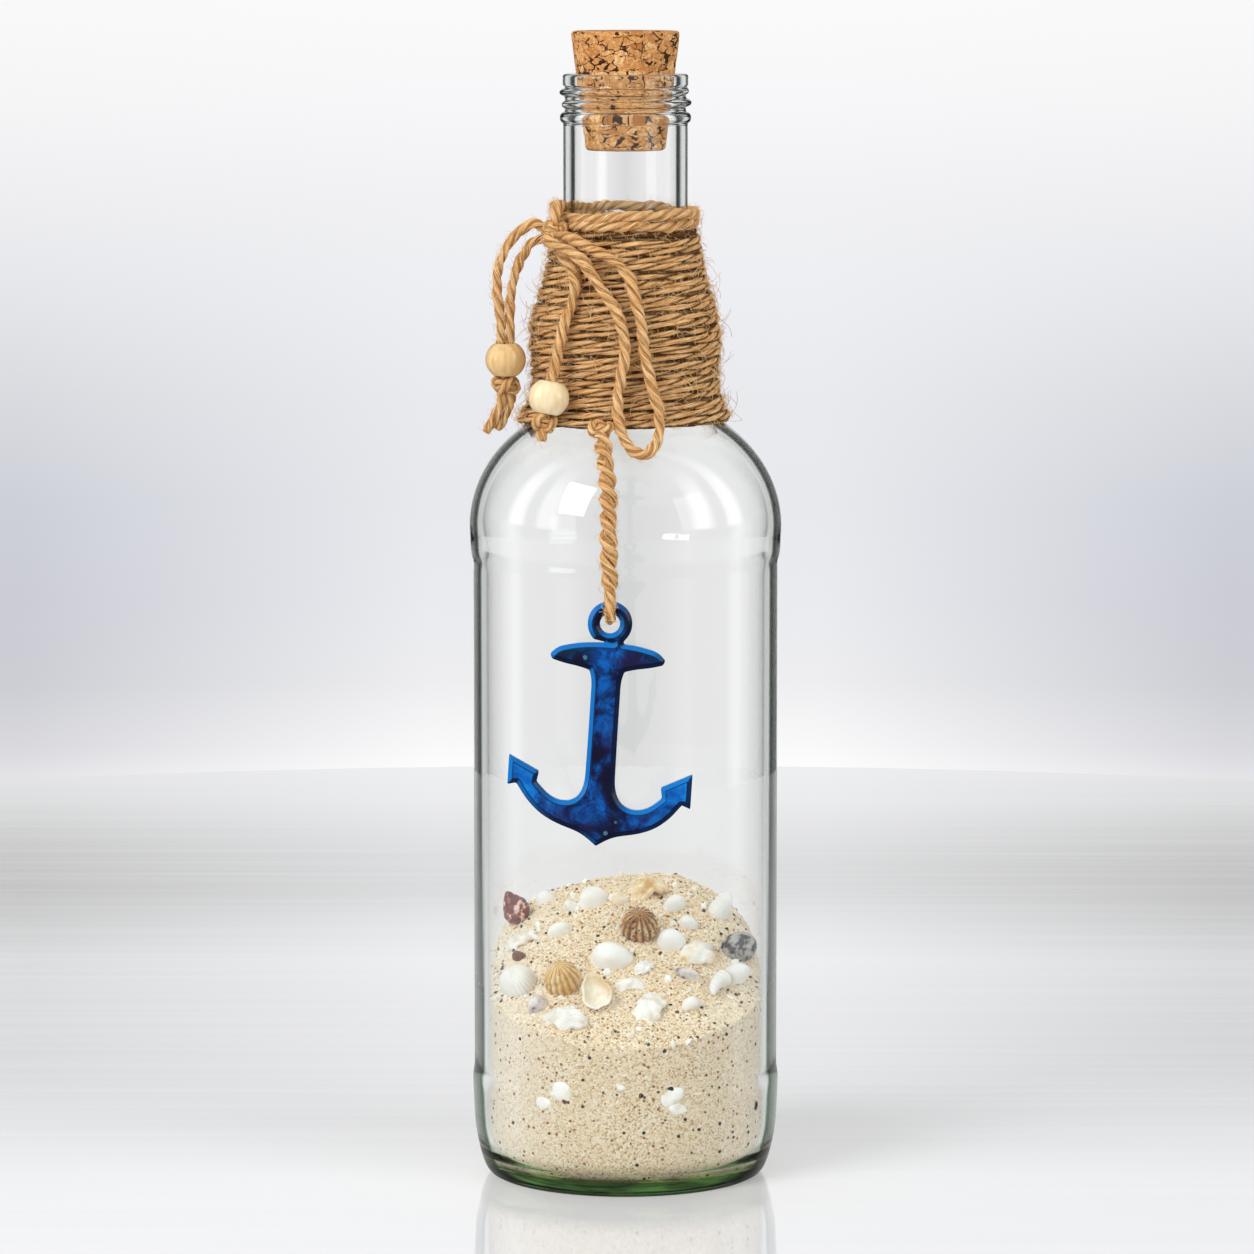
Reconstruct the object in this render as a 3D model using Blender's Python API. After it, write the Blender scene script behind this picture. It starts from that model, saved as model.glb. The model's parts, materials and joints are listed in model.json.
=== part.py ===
# Decorative glass bottle with a cork, a twine-wound neck, a beaded bow, a hanging anchor and shells on sand.
# Metres, Z up. The origin is the middle of the base's underside, and the front faces -Y.
import math

import bmesh
import bpy
from mathutils import Matrix, Vector

# Clearance between pieces that touch on the real object, and how near points are one, as a share of it
GAP = 0.0003
WELD_SHARE = 0.015

# Glass, outside, from the base upwards
PANEL_RADIUS = 0.0364
BAND_PROUD = 0.0004
HEEL_WIDTH = 0.0050
HEEL_HEIGHT = 0.0225
BAND_LENGTH = 0.0015
BAND_FADE = 0.0022
PANEL_LENGTH = 0.1232
SEAM_PROUD = 0.0006
SEAM_RISE = 0.0006
SHOULDER_PROUD = 0.0009
SHOULDER_LIFT = 0.0074
SHOULDER_RISE = 0.0316
SHOULDER_TOP_DEGREES = 52.5
NECK_RADIUS = 0.0148
NECK_ROOT_PROUD = 0.0042
NECK_ROOT_LIFT = 0.0005
NECK_COVE_SHARE = 0.28
NECK_TAPER_LENGTH = 0.0279
NECK_LENGTH = 0.0474
BAND_RADIUS = PANEL_RADIUS + BAND_PROUD
BASE_RADIUS = BAND_RADIUS - HEEL_WIDTH
BAND_TOP_HEIGHT = HEEL_HEIGHT + BAND_LENGTH
PANEL_FOOT_HEIGHT = BAND_TOP_HEIGHT + BAND_FADE
SEAM_HEIGHT = PANEL_FOOT_HEIGHT + PANEL_LENGTH
SEAM_RADIUS = PANEL_RADIUS + SEAM_PROUD
SHOULDER_RADIUS = PANEL_RADIUS + SHOULDER_PROUD
SHOULDER_CENTRE = SEAM_HEIGHT + SHOULDER_LIFT
NECK_ROOT_RADIUS = NECK_RADIUS + NECK_ROOT_PROUD
NECK_ROOT_HEIGHT = SHOULDER_CENTRE + SHOULDER_RISE + NECK_ROOT_LIFT
NECK_FOOT_HEIGHT = NECK_ROOT_HEIGHT + NECK_TAPER_LENGTH
RIM_HEIGHT = NECK_FOOT_HEIGHT + NECK_LENGTH

# Glass, inside
WALL = 0.0035
BASE_THICKNESS = 0.0036
INNER_HEEL_WIDTH = 0.0042
INNER_HEEL_HEIGHT = 0.0102
NECK_WALL = 0.0027
INNER_ROOT_WALL = 0.0038
INNER_FOOT_DROP = 0.0030
INNER_ROOT_DROP = 0.0015
BORE_RADIUS = NECK_RADIUS - NECK_WALL

# Finish of the mouth
RIM_PROUD = 0.0001
RIM_BAND = 0.0030
RIM_ROUNDING = 0.0007
FINISH_INSET = 0.0004
RING_DROP = 0.0104
RING_PROUD = 0.0008
RING_HALF = 0.0013
RIM_RADIUS = NECK_RADIUS + RIM_PROUD
FINISH_RADIUS = NECK_RADIUS - FINISH_INSET
RING_HEIGHT = RIM_HEIGHT - RING_DROP
RING_RADIUS = NECK_RADIUS + RING_PROUD
THREAD_DROP = 0.0042
THREAD_PITCH = 0.0029
THREAD_TURNS = 1.56
THREAD_START_DEGREES = -100
THREAD_HALF = 0.0009
THREAD_DEPTH = 0.0013
THREAD_SINK = 0.0005
THREAD_END_SHARE = 0.15
THREAD_RUN_OUT_STEPS = 6
THREAD_SHOULDER_SHARE = 0.75
THREAD_SHOULDER_HALF_SHARE = 0.62
GLASS_SIDES = 32

# Cork: its side would meet the bore's edge a little above the lip
CORK_LENGTH = 0.0282
CORK_STAND_OUT = 0.0101
CORK_FLARE = 0.0008
CORK_TAPER = 0.0034
CORK_TOP_RADIUS = BORE_RADIUS + CORK_FLARE
CORK_ROUNDING = 0.0004
CORK_SIDES = 32

# Sand
SAND_FRONT_HEIGHT = 0.0359
SAND_RISE = 0.0332
SAND_RUN = 0.0440
SAND_SIDE_DROOP = 0.0088
SAND_PEAK_RISE = 0.0042
SAND_PEAK_REACH = 0.0135
SAND_RIPPLE = 0.0004
SAND_WAVES_ACROSS = 9
SAND_WAVES_DEEP = 7
SAND_PEAK_ACROSS_SHARE = 0.20
SAND_PEAK_DEPTH_SHARE = 0.40
SAND_KNEE_SHARE = 0.65
SAND_KNEE_WIDTH_SHARE = 0.50
SAND_SIDES = 32
SAND_RINGS = 7

# Twine round the neck
TWINE_RADIUS = 0.00073
WRAP_SKIRT = 0.0071
WRAP_COLLAR = 0.0088
WRAP_LOOPS = 23
POINTS_PER_LOOP = 24
WRAP_START_DEGREES = 90
WRAP_BUILD = 0.0060
UNDERLAY_FOOT_INSET = 0.0026
UNDERLAY_HEAD_INSET = 0.0010
UNDERLAY_GAP = 0.0008
UNDERLAY_STEPS = 8
UNDERLAY_SIDES = 24
TIE_TWINE_RADIUS = 0.0011
TIE_LIFT = 0.0022
TIE_PITCH = 0.00265
TIE_TURNS = 2
TIE_LEAD_SHARE = 0.55
WRAP_FOOT = NECK_ROOT_HEIGHT - WRAP_SKIRT
WRAP_HEAD = NECK_FOOT_HEIGHT + WRAP_COLLAR

# Bow
KNOT_RADIUS = 0.0030
KNOT_DEGREES = 217.6
KNOT_LIFT = 0.0013
STRING_RADIUS = 0.00095
TAIL_STRING_RADIUS = 0.00125
LOOP_STRING_RADIUS = 0.00120
STRING_END_RADIUS = 0.00135
BEAD_RADIUS = 0.0048
BEAD_HALF_HEIGHT = 0.00395
BEAD_HOLE_RADIUS = 0.00235
BEAD_END_DEGREES = 58
BEAD_SIDES = 20
END_KNOT_RADIUS = 0.0033
END_KNOT_DEPTH = 0.0026
END_KNOT_HALF_HEIGHT = 0.00175
BALL_SIDES = 14
BALL_RINGS = 8

# Pendant
HITCH_WIDTH = 0.0031
HITCH_DEPTH = 0.0015
PENDANT_RADIUS = 0.0021
EYE_RADIUS = 0.0052
EYE_HOLE_RADIUS = 0.00235
EYE_SIDES = 16
EYE_JOIN_DEGREES = 6
ANCHOR_THICKNESS = 0.0025
ANCHOR_HALF_SPAN = 0.0215
ANCHOR_DROP = 0.0524
ANCHOR_EDGE = 0.0006
ANCHOR_TILT_DEGREES = 3.7
ARM_SKEW_SHARE = 0.075
LOOP_TWINE_RADIUS = 0.0010
ANCHOR_STAND_OFF = 0.00255
ANCHOR_ACROSS = -0.0036
ANCHOR_BELOW_WRAP = 0.0440

# Largest shell
SHELL_LENGTH = 0.0095
SHELL_SEAT_SHARE = 0.8

# Thickness of the wound twine over the glass, from the foot of the wrap to its head, as shares of WRAP_BUILD
wrap_build_shares = (
    (0.0, 0.60), (0.05, 0.70), (0.15, 0.63), (0.25, 0.65), (0.34, 0.81), (0.43, 0.97),
    (0.52, 1.0), (0.61, 0.98), (0.70, 0.87), (0.79, 0.76), (0.89, 0.64), (1.0, 0.50),
)

# Heel of the glass, from the base to the band, as shares of its width and height
heel_shares = ((0.0, 0.0), (0.22, 0.022), (0.42, 0.09), (0.62, 0.22), (0.76, 0.36), (0.90, 0.56), (1.0, 1.0))

# Routes of the bow's strings, in metres from the middle of the knot
left_outer_route = [
    (-0.0090, 0.0002, -0.0001), (-0.0117, 0.0002, -0.0038), (-0.0133, 0.0002, -0.0077),
    (-0.0137, 0.0002, -0.0124), (-0.0133, 0.0002, -0.0170), (-0.0128, 0.0002, -0.0206),
    (-0.0128, 0.0002, -0.0262), (-0.0128, 0.0002, -0.0336),
]
left_inner_route = [
    (-0.0071, 0.0002, -0.0042), (-0.0087, 0.0002, -0.0073), (-0.0099, 0.0002, -0.0114),
    (-0.0106, 0.0002, -0.0157), (-0.0106, 0.0002, -0.0206), (-0.0106, 0.0002, -0.0262),
    (-0.0106, 0.0002, -0.0336),
]
left_end_route = [
    (-0.0137, 0.0002, -0.0425), (-0.0164, 0.0002, -0.0470),
]
tail_route = [
    (0.0041, -0.0044, -0.0078), (0.0048, -0.0057, -0.0111), (0.0043, -0.0067, -0.0148),
    (0.0031, -0.0073, -0.0185), (0.0016, -0.0079, -0.0233), (0.0007, -0.0086, -0.0273),
    (-0.0006, -0.0092, -0.0338), (-0.0021, -0.0098, -0.0418),
]
bow_loop_route = [
    (0.0066, -0.0056, -0.0023), (0.0111, -0.0074, -0.0043), (0.0151, -0.0085, -0.0067),
    (0.0177, -0.0096, -0.0106), (0.0189, -0.0108, -0.0152), (0.0203, -0.0121, -0.0209),
    (0.0212, -0.0126, -0.0280), (0.0227, -0.0126, -0.0347), (0.0243, -0.0132, -0.0405),
    (0.0245, -0.0150, -0.0457), (0.0228, -0.0183, -0.0494), (0.0200, -0.0196, -0.0504),
    (0.0174, -0.0183, -0.0489), (0.0157, -0.0159, -0.0459), (0.0148, -0.0143, -0.0420),
    (0.0148, -0.0130, -0.0376), (0.0157, -0.0127, -0.0323), (0.0165, -0.0130, -0.0268),
    (0.0158, -0.0125, -0.0217), (0.0142, -0.0115, -0.0171), (0.0110, -0.0100, -0.0124),
    (0.0083, -0.0089, -0.0083), (0.0052, -0.0079, -0.0047),
]
# Route of the pendant cord, in metres: across, off the glass, and below the foot of the wrap
pendant_route = [
    (-0.0056, 0.00493, 0.0013), (-0.0054, 0.00446, 0.0026), (-0.0049, 0.00414, 0.0054),
    (-0.0045, 0.00379, 0.0088), (-0.0042, 0.00349, 0.0129), (-0.0040, 0.00328, 0.0175),
    (-0.0039, 0.00318, 0.0229), (-0.0038, 0.00345, 0.0288), (-0.0037, 0.00437, 0.0333),
    (-0.0036, 0.00436, 0.0353),
]

# Ways in which the strings leave the knot: along the tie, outwards and upwards
left_outer_way_shares = (-0.55, 0.71, 0.43)
left_inner_way_shares = (-0.57, 0.74, -0.34)
tail_way_shares = (0.50, 0.0, -0.87)
loop_out_way_shares = (0.93, -0.22, -0.20)
loop_back_way_shares = (0.60, 0.75, -0.22)
ARM_SKEW_START_SHARE = 0.5
ARM_SKEW_BLEND_SHARE = 0.2
pendant_end_shares = (0.45, 0.80, 1.0)
pendant_loop_shares = ((1.05, 5.5), (1.08, 4.3), (1.6, 3.0), (2.35, 1.6))

# Right half of the anchor, from the neck of its eye down to the crown, as shares of half span and drop
anchor_outline_shares = (
    (0.158, 0.088), (0.33, 0.095), (0.57, 0.118), (0.610, 0.135), (0.625, 0.152),
    (0.60, 0.172), (0.47, 0.188), (0.30, 0.198), (0.19, 0.212), (0.158, 0.245),
    (0.158, 0.50), (0.163, 0.724), (0.20, 0.777), (0.27, 0.810), (0.354, 0.822),
    (0.45, 0.820), (0.56, 0.798), (0.685, 0.748), (0.665, 0.700), (1.0, 0.632),
    (1.0, 0.777), (0.905, 0.765), (0.79, 0.830), (0.65, 0.882), (0.51, 0.912),
    (0.36, 0.932), (0.205, 0.945), (0.09, 0.972), (0.0, 1.0),
)

# Outlines of the shell kinds: wave count, wave share and taper share in plan,
# then rings of height and width shares
shell_form_shares = {
    "pebble": (2, 0.06, 0.05, ((0.0, 0.82), (0.32, 1.0), (0.78, 0.70))),
    "oval": (2, 0.03, 0.14, ((0.0, 0.86), (0.24, 1.0), (0.60, 0.86), (0.88, 0.48))),
    "snail": (
        3, 0.05, 0.20, ((0.0, 0.78), (0.22, 1.0), (0.42, 0.92), (0.52, 0.70), (0.72, 0.52), (0.80, 0.34)),
    ),
    "scallop": (9, 0.05, 0.18, ((0.0, 0.94), (0.22, 1.0), (0.58, 0.80), (0.86, 0.44))),
    "flake": (5, 0.20, 0.10, ((0.0, 0.88), (0.40, 1.0), (0.78, 0.55))),
    "horn": (2, 0.10, 0.55, ((0.0, 0.80), (0.34, 1.0), (0.70, 0.76), (0.90, 0.42))),
}

# Shells: name, kind, place across and in depth as shares of the sand's radius, turn in degrees,
# then length, width and height as shares of SHELL_LENGTH
shell_shares = (
    ("snail_shell_red", "snail", -0.80, 0.28, 60, 0.72, 0.66, 0.62, "shell_brown"),
    ("snail_shell_spotted", "snail", 0.10, -0.12, -20, 0.88, 0.74, 0.60, "shell_brown"),
    ("snail_shell_ribbed", "snail", -0.44, -0.47, 30, 0.84, 0.76, 0.62, "shell_tan"),
    ("snail_shell_grey", "snail", 0.835, -0.09, 15, 0.82, 0.62, 0.52, "shell_grey"),
    ("scallop_shell", "scallop", -0.77, -0.345, -65, 0.92, 0.74, 0.36, "shell_white"),
    ("oval_shell_large", "oval", -0.11, -0.31, 0, 0.92, 0.70, 0.36, "shell_white"),
    ("oval_shell_back", "oval", -0.24, 0.17, 10, 0.72, 0.58, 0.40, "shell_white"),
    ("round_shell", "oval", 0.33, -0.19, 0, 0.68, 0.56, 0.42, "shell_white"),
    ("tall_shell", "oval", 0.70, 0.19, 80, 0.62, 0.60, 0.60, "shell_white"),
    ("cup_shell_cream", "horn", -0.21, -0.62, 100, 0.90, 0.72, 0.42, "shell_tan"),
    ("horn_shell", "horn", 0.65, -0.465, 235, 0.92, 0.50, 0.42, "shell_white"),
    ("bulb_shell", "oval", 0.79, -0.29, 20, 0.60, 0.50, 0.44, "shell_white"),
    ("fragment_yellow", "flake", 0.50, -0.25, 25, 0.88, 0.60, 0.34, "shell_tan"),
    ("fragment_peak", "flake", 0.15, 0.20, 0, 1.0, 0.60, 0.40, "shell_tan"),
    ("fragment_left", "flake", -0.80, 0.0, 10, 0.92, 0.40, 0.26, "shell_white"),
    ("fragment_front", "flake", -0.43, -0.74, -30, 1.08, 0.50, 0.42, "shell_white"),
    ("fragment_small", "flake", -0.625, -0.59, 40, 0.50, 0.40, 0.32, "shell_grey"),
    ("fragment_right", "flake", 0.17, -0.70, 70, 0.84, 0.62, 0.34, "shell_white"),
    ("fragment_middle", "flake", 0.02, -0.50, 0, 0.80, 0.40, 0.28, "shell_white"),
    ("fragment_centre", "flake", 0.125, -0.38, 30, 0.48, 0.36, 0.26, "shell_white"),
    ("fragment_side", "flake", 0.47, -0.63, 30, 0.50, 0.38, 0.26, "shell_white"),
    ("tube_fragment", "pebble", 0.45, -0.42, -15, 0.62, 0.28, 0.26, "shell_grey"),
    ("pebble_far_left", "pebble", -0.61, 0.40, 5, 0.48, 0.34, 0.28, "shell_white"),
    ("pebble_left", "pebble", -0.41, 0.15, -10, 0.38, 0.28, 0.24, "shell_white"),
    ("pebble_middle", "pebble", -0.04, 0.12, 15, 0.42, 0.30, 0.26, "shell_white"),
    ("pebble_right", "pebble", 0.36, 0.09, 30, 0.54, 0.40, 0.34, "shell_white"),
    ("pebble_far_right", "pebble", 0.46, -0.03, -20, 0.44, 0.32, 0.28, "shell_white"),
    ("pebble_near_left", "pebble", -0.49, -0.05, 20, 0.58, 0.34, 0.24, "shell_white"),
    ("pebble_dark", "pebble", -0.78, -0.14, 0, 0.32, 0.24, 0.22, "shell_brown"),
)
SHELL_SIDES = 12

# Finishes: colour, roughness and transmission
finishes = {
    "glass": ((0.86, 0.93, 0.89), 0.03, 1.0),
    "cork": ((0.62, 0.37, 0.17), 0.85, 0.0),
    "twine": ((0.52, 0.33, 0.16), 0.90, 0.0),
    "sand": ((0.76, 0.62, 0.46), 0.95, 0.0),
    "bead_wood": ((0.86, 0.70, 0.43), 0.35, 0.0),
    "anchor_enamel": ((0.01, 0.12, 0.45), 0.30, 0.0),
    "shell_white": ((0.90, 0.88, 0.83), 0.45, 0.0),
    "shell_tan": ((0.82, 0.60, 0.32), 0.45, 0.0),
    "shell_brown": ((0.36, 0.15, 0.09), 0.40, 0.0),
    "shell_grey": ((0.36, 0.34, 0.34), 0.45, 0.0),
}


def clear_scene():
    for item in list(bpy.data.objects):
        bpy.data.objects.remove(item, do_unlink=True)


def finish_material(name):
    material = bpy.data.materials.get(name)
    if material:
        return material
    colour, roughness, transmission = finishes[name]
    material = bpy.data.materials.new(name)
    material.use_nodes = True
    shader = material.node_tree.nodes["Principled BSDF"]
    shader.inputs["Base Color"].default_value = (*colour, 1.0)
    shader.inputs["Roughness"].default_value = roughness
    shader.inputs["Metallic"].default_value = 0.0
    shader.inputs["Transmission Weight"].default_value = transmission
    material.diffuse_color = (*colour, 1.0 - 0.6 * transmission)
    return material


def add_object(name, data, finish):
    piece = bpy.data.objects.new(name, data)
    bpy.context.scene.collection.objects.link(piece)
    data.materials.append(finish_material(finish))
    return piece


def add_mesh(name, work, finish, sharp_degrees=40):
    """Turns a bmesh into an object with outward faces and smooth shading between its sharp edges."""
    bmesh.ops.recalc_face_normals(work, faces=work.faces)
    mesh = bpy.data.meshes.new(name)
    work.to_mesh(mesh)
    work.free()
    mesh.shade_smooth()
    mesh.set_sharp_from_angle(angle=math.radians(sharp_degrees))
    return add_object(name, mesh, finish)


def add_turned(name, outline, sides, finish):
    """Turns (radius, height) points about Z. They start and end on the axis, or make a closed ring."""
    work = bmesh.new()
    points = [work.verts.new((radius, 0, height)) for radius, height in outline]
    pairs = list(zip(points, points[1:]))
    on_axis = outline[0][0] == 0
    if not on_axis:
        pairs.append((points[-1], points[0]))
    edges = [work.edges.new(pair) for pair in pairs]
    bmesh.ops.spin(
        work, geom=points + edges, angle=math.tau, steps=sides, axis=(0, 0, 1), cent=(0, 0, 0), use_merge=True
    )
    bmesh.ops.remove_doubles(work, verts=work.verts, dist=GAP * WELD_SHARE)
    return add_mesh(name, work, finish)


def add_cord(name, points, radius, finish, radius_shares=None, sides_step=2):
    """A round cord as a curve through the points. The shares narrow it at its first points."""
    curve = bpy.data.curves.new(name, "CURVE")
    curve.dimensions = "3D"
    curve.bevel_depth = radius
    curve.bevel_resolution = sides_step
    curve.use_fill_caps = True
    spline = curve.splines.new("POLY")
    spline.points.add(len(points) - 1)
    for index, point in enumerate(points):
        spline.points[index].co = (*point, 1.0)
    for index, share in enumerate(radius_shares or ()):
        spline.points[index].radius = share
    return add_object(name, curve, finish)


def as_mesh(piece):
    """Replaces a curve object by a mesh object with the same name, so that it can be joined to others."""
    bpy.context.view_layer.update()
    graph = bpy.context.evaluated_depsgraph_get()
    mesh = bpy.data.meshes.new_from_object(piece.evaluated_get(graph))
    name = piece.name
    bpy.data.objects.remove(piece, do_unlink=True)
    solid = bpy.data.objects.new(name, mesh)
    bpy.context.scene.collection.objects.link(solid)
    weld = solid.modifiers.new("weld", "WELD")
    weld.merge_threshold = GAP * WELD_SHARE
    return solid


def combine(target, helper, operation):
    """A Boolean on the target. The helper stays as a hidden guide."""
    step = target.modifiers.new(operation.lower(), "BOOLEAN")
    step.operation = operation
    step.solver = "EXACT"
    step.object = helper
    helper.hide_render = True
    helper.display_type = "WIRE"


def smooth_route(route, steps):
    """Points on a smooth curve through the route's own points."""
    knots = [Vector(point) for point in route]
    knots = [2 * knots[0] - knots[1], *knots, 2 * knots[-1] - knots[-2]]
    points = []
    for before, start, end, after in zip(knots, knots[1:], knots[2:], knots[3:]):
        for step in range(steps):
            t = step / steps
            bend = (2 * before - 5 * start + 4 * end - after) * t * t
            twist = (3 * start - before - 3 * end + after) * t**3
            points.append(0.5 * (2 * start + (end - before) * t + bend + twist))
    points.append(knots[-2])
    return points


def polar(radius, degrees, height):
    angle = math.radians(degrees)
    return Vector((radius * math.cos(angle), radius * math.sin(angle), height))


def between(table, place):
    """Value of a table of (place, value) pairs, with straight lines between them."""
    if place <= table[0][0]:
        return table[0][1]
    for (low, first), (high, second) in zip(table, table[1:]):
        if place <= high:
            return first + (second - first) * (place - low) / (high - low)
    return table[-1][1]


def arc(radius, height, width, rise, start, end, steps):
    """Points on an ellipse about (radius, height), from one angle in degrees to another."""
    angles = [math.radians(start + (end - start) * step / steps) for step in range(steps + 1)]
    return [(radius + width * math.cos(angle), height + rise * math.sin(angle)) for angle in angles]


def blend(first, control, last, steps):
    """Points on a curve that leaves the first point and reaches the last one towards the control point."""
    points = []
    for step in range(1, steps):
        t = step / steps
        weights = ((1 - t) ** 2, 2 * t * (1 - t), t * t)
        points.append(tuple(sum(w * p[i] for w, p in zip(weights, (first, control, last))) for i in (0, 1)))
    return points


def outer_body_outline():
    """Outside of the glass from the middle of the base to the straight neck."""
    heel = [(BASE_RADIUS + HEEL_WIDTH * out, HEEL_HEIGHT * up) for out, up in heel_shares]
    band = [(BAND_RADIUS, BAND_TOP_HEIGHT), (PANEL_RADIUS, PANEL_FOOT_HEIGHT)]
    seam = [(PANEL_RADIUS, SEAM_HEIGHT - SEAM_RISE), (SEAM_RADIUS, SEAM_HEIGHT + SEAM_RISE)]
    dome = arc(0, SHOULDER_CENTRE, SHOULDER_RADIUS, SHOULDER_RISE, 0, SHOULDER_TOP_DEGREES, 6)
    root = (NECK_ROOT_RADIUS, NECK_ROOT_HEIGHT)
    before, crown = dome[-2:]
    lead = (root[1] - crown[1]) * NECK_COVE_SHARE
    control = (crown[0] + (crown[0] - before[0]) / (crown[1] - before[1]) * lead, crown[1] + lead)
    cove = blend(crown, control, root, 3)
    foot = (NECK_RADIUS, NECK_FOOT_HEIGHT)
    return [(0, 0), *heel, *band, *seam, *dome, *cove, root, foot]


def finish_outline():
    """Outside of the mouth, from the ring under the thread to the edge of the bore."""
    ring = arc(NECK_RADIUS, RING_HEIGHT, RING_RADIUS - NECK_RADIUS, RING_HALF, -90, 90, 4)
    waist_foot = (FINISH_RADIUS, RING_HEIGHT + RING_HALF + GAP)
    band_foot = RIM_HEIGHT - RIM_BAND
    waist_head = (FINISH_RADIUS, band_foot - GAP)
    lip_foot = (RIM_RADIUS, band_foot)
    soft = RIM_ROUNDING
    outer_lip = arc(RIM_RADIUS - soft, RIM_HEIGHT - soft, soft, soft, 0, 90, 2)
    inner_lip = arc(BORE_RADIUS + soft, RIM_HEIGHT - soft, soft, soft, 90, 180, 2)
    return [*ring, waist_foot, waist_head, lip_foot, *outer_lip, *inner_lip]


def inner_outline():
    """Inside of the glass from the base of the bore to the middle of the floor."""
    radius = PANEL_RADIUS - WALL
    shoulder = SHOULDER_RADIUS - WALL
    dome = arc(0, SHOULDER_CENTRE, shoulder, SHOULDER_RISE - WALL, SHOULDER_TOP_DEGREES, 0, 5)
    root = (NECK_ROOT_RADIUS - INNER_ROOT_WALL, NECK_ROOT_HEIGHT - INNER_ROOT_DROP)
    neck = [(BORE_RADIUS, NECK_FOOT_HEIGHT - INNER_FOOT_DROP), root]
    side = [(radius, SEAM_HEIGHT)]
    corner = (radius - INNER_HEEL_WIDTH, BASE_THICKNESS + INNER_HEEL_HEIGHT)
    heel = arc(*corner, INNER_HEEL_WIDTH, INNER_HEEL_HEIGHT, 0, -90, 3)
    return [*neck, *dome, *side, *heel, (0, BASE_THICKNESS)]


def glass_radius(height):
    """Outside radius of the glass at a height on the panel, the shoulder or the neck."""
    upper = [(z, radius) for radius, z in outer_body_outline() if z >= PANEL_FOOT_HEIGHT]
    return between(upper, height)


def wrap_radius(height):
    """Outside radius of the wound twine."""
    share = (height - WRAP_FOOT) / (WRAP_HEAD - WRAP_FOOT)
    return glass_radius(height) + WRAP_BUILD * between(wrap_build_shares, share)


def thread_angle_height(turn_angle):
    """Drop of the thread below its top. It stays level across the front and falls at the back."""
    return THREAD_PITCH / math.tau * (turn_angle - math.sin(turn_angle))


def make_thread():
    """A half-round ridge that winds round the finish and runs out at both ends."""
    steps = round(THREAD_TURNS * GLASS_SIDES)
    first = math.radians(THREAD_START_DEGREES)
    work = bmesh.new()
    root = FINISH_RADIUS - THREAD_SINK
    rings = []
    for step in range(steps + 1):
        turn = first + math.tau * THREAD_TURNS * step / steps
        run_out = min(1.0, THREAD_END_SHARE + min(step, steps - step) / THREAD_RUN_OUT_STEPS)
        crest = THREAD_DEPTH * run_out
        height = RIM_HEIGHT - THREAD_DROP - thread_angle_height(turn)
        shoulder = FINISH_RADIUS + THREAD_SHOULDER_SHARE * crest
        half = THREAD_SHOULDER_HALF_SHARE * THREAD_HALF
        section = [(root, -THREAD_HALF), (root, THREAD_HALF), (shoulder, half)]
        section += [(FINISH_RADIUS + crest, 0), (shoulder, -half)]
        degrees = -90 - math.degrees(turn)
        rings.append([work.verts.new(polar(radius, degrees, height + rise)) for radius, rise in section])
    for ring, following in zip(rings, rings[1:]):
        count = len(ring)
        for i in range(count):
            j = (i + 1) % count
            work.faces.new((ring[i], ring[j], following[j], following[i]))
    work.faces.new(rings[0][::-1])
    work.faces.new(rings[-1])
    return add_mesh("thread_guide", work, "glass")


def make_bottle():
    outline = [*outer_body_outline(), *finish_outline(), *inner_outline()]
    bottle = add_turned("bottle", outline, GLASS_SIDES, "glass")
    combine(bottle, make_thread(), "UNION")


def make_cork():
    """A tapered stopper that meets the lip of the bore when it is pushed home."""
    top = RIM_HEIGHT + CORK_STAND_OUT
    foot = top - CORK_LENGTH
    foot_radius = CORK_TOP_RADIUS - CORK_TAPER
    outline = [(0, foot), (foot_radius - CORK_ROUNDING, foot), (foot_radius, foot + CORK_ROUNDING)]
    outline += [(CORK_TOP_RADIUS, top - CORK_ROUNDING), (CORK_TOP_RADIUS - CORK_ROUNDING, top), (0, top)]
    cork = add_turned("cork_stopper", outline, CORK_SIDES, "cork")
    return cork


def sand_radius():
    return (PANEL_RADIUS - WALL) * math.cos(math.pi / GLASS_SIDES) - GAP


def sand_height(across, depth):
    """Height of the sand's surface. It climbs from the front to a ridge behind the middle."""
    reach = sand_radius()
    run = (depth + reach) / SAND_RUN
    over = max(0.0, run - SAND_KNEE_SHARE)
    climb = SAND_RISE * (run - 0.5 * over * over / SAND_KNEE_WIDTH_SHARE)
    droop = SAND_SIDE_DROOP * abs(across / reach) ** 3
    peak = Vector((across / reach - SAND_PEAK_ACROSS_SHARE, depth / reach - SAND_PEAK_DEPTH_SHARE)).length
    bump = SAND_PEAK_RISE * math.exp(-0.5 * (peak * reach / SAND_PEAK_REACH) ** 2)
    ripple = SAND_RIPPLE * math.sin(SAND_WAVES_ACROSS * across / reach + 1)
    ripple *= math.cos(SAND_WAVES_DEEP * depth / reach)
    return SAND_FRONT_HEIGHT + climb - droop + bump + ripple


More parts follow.
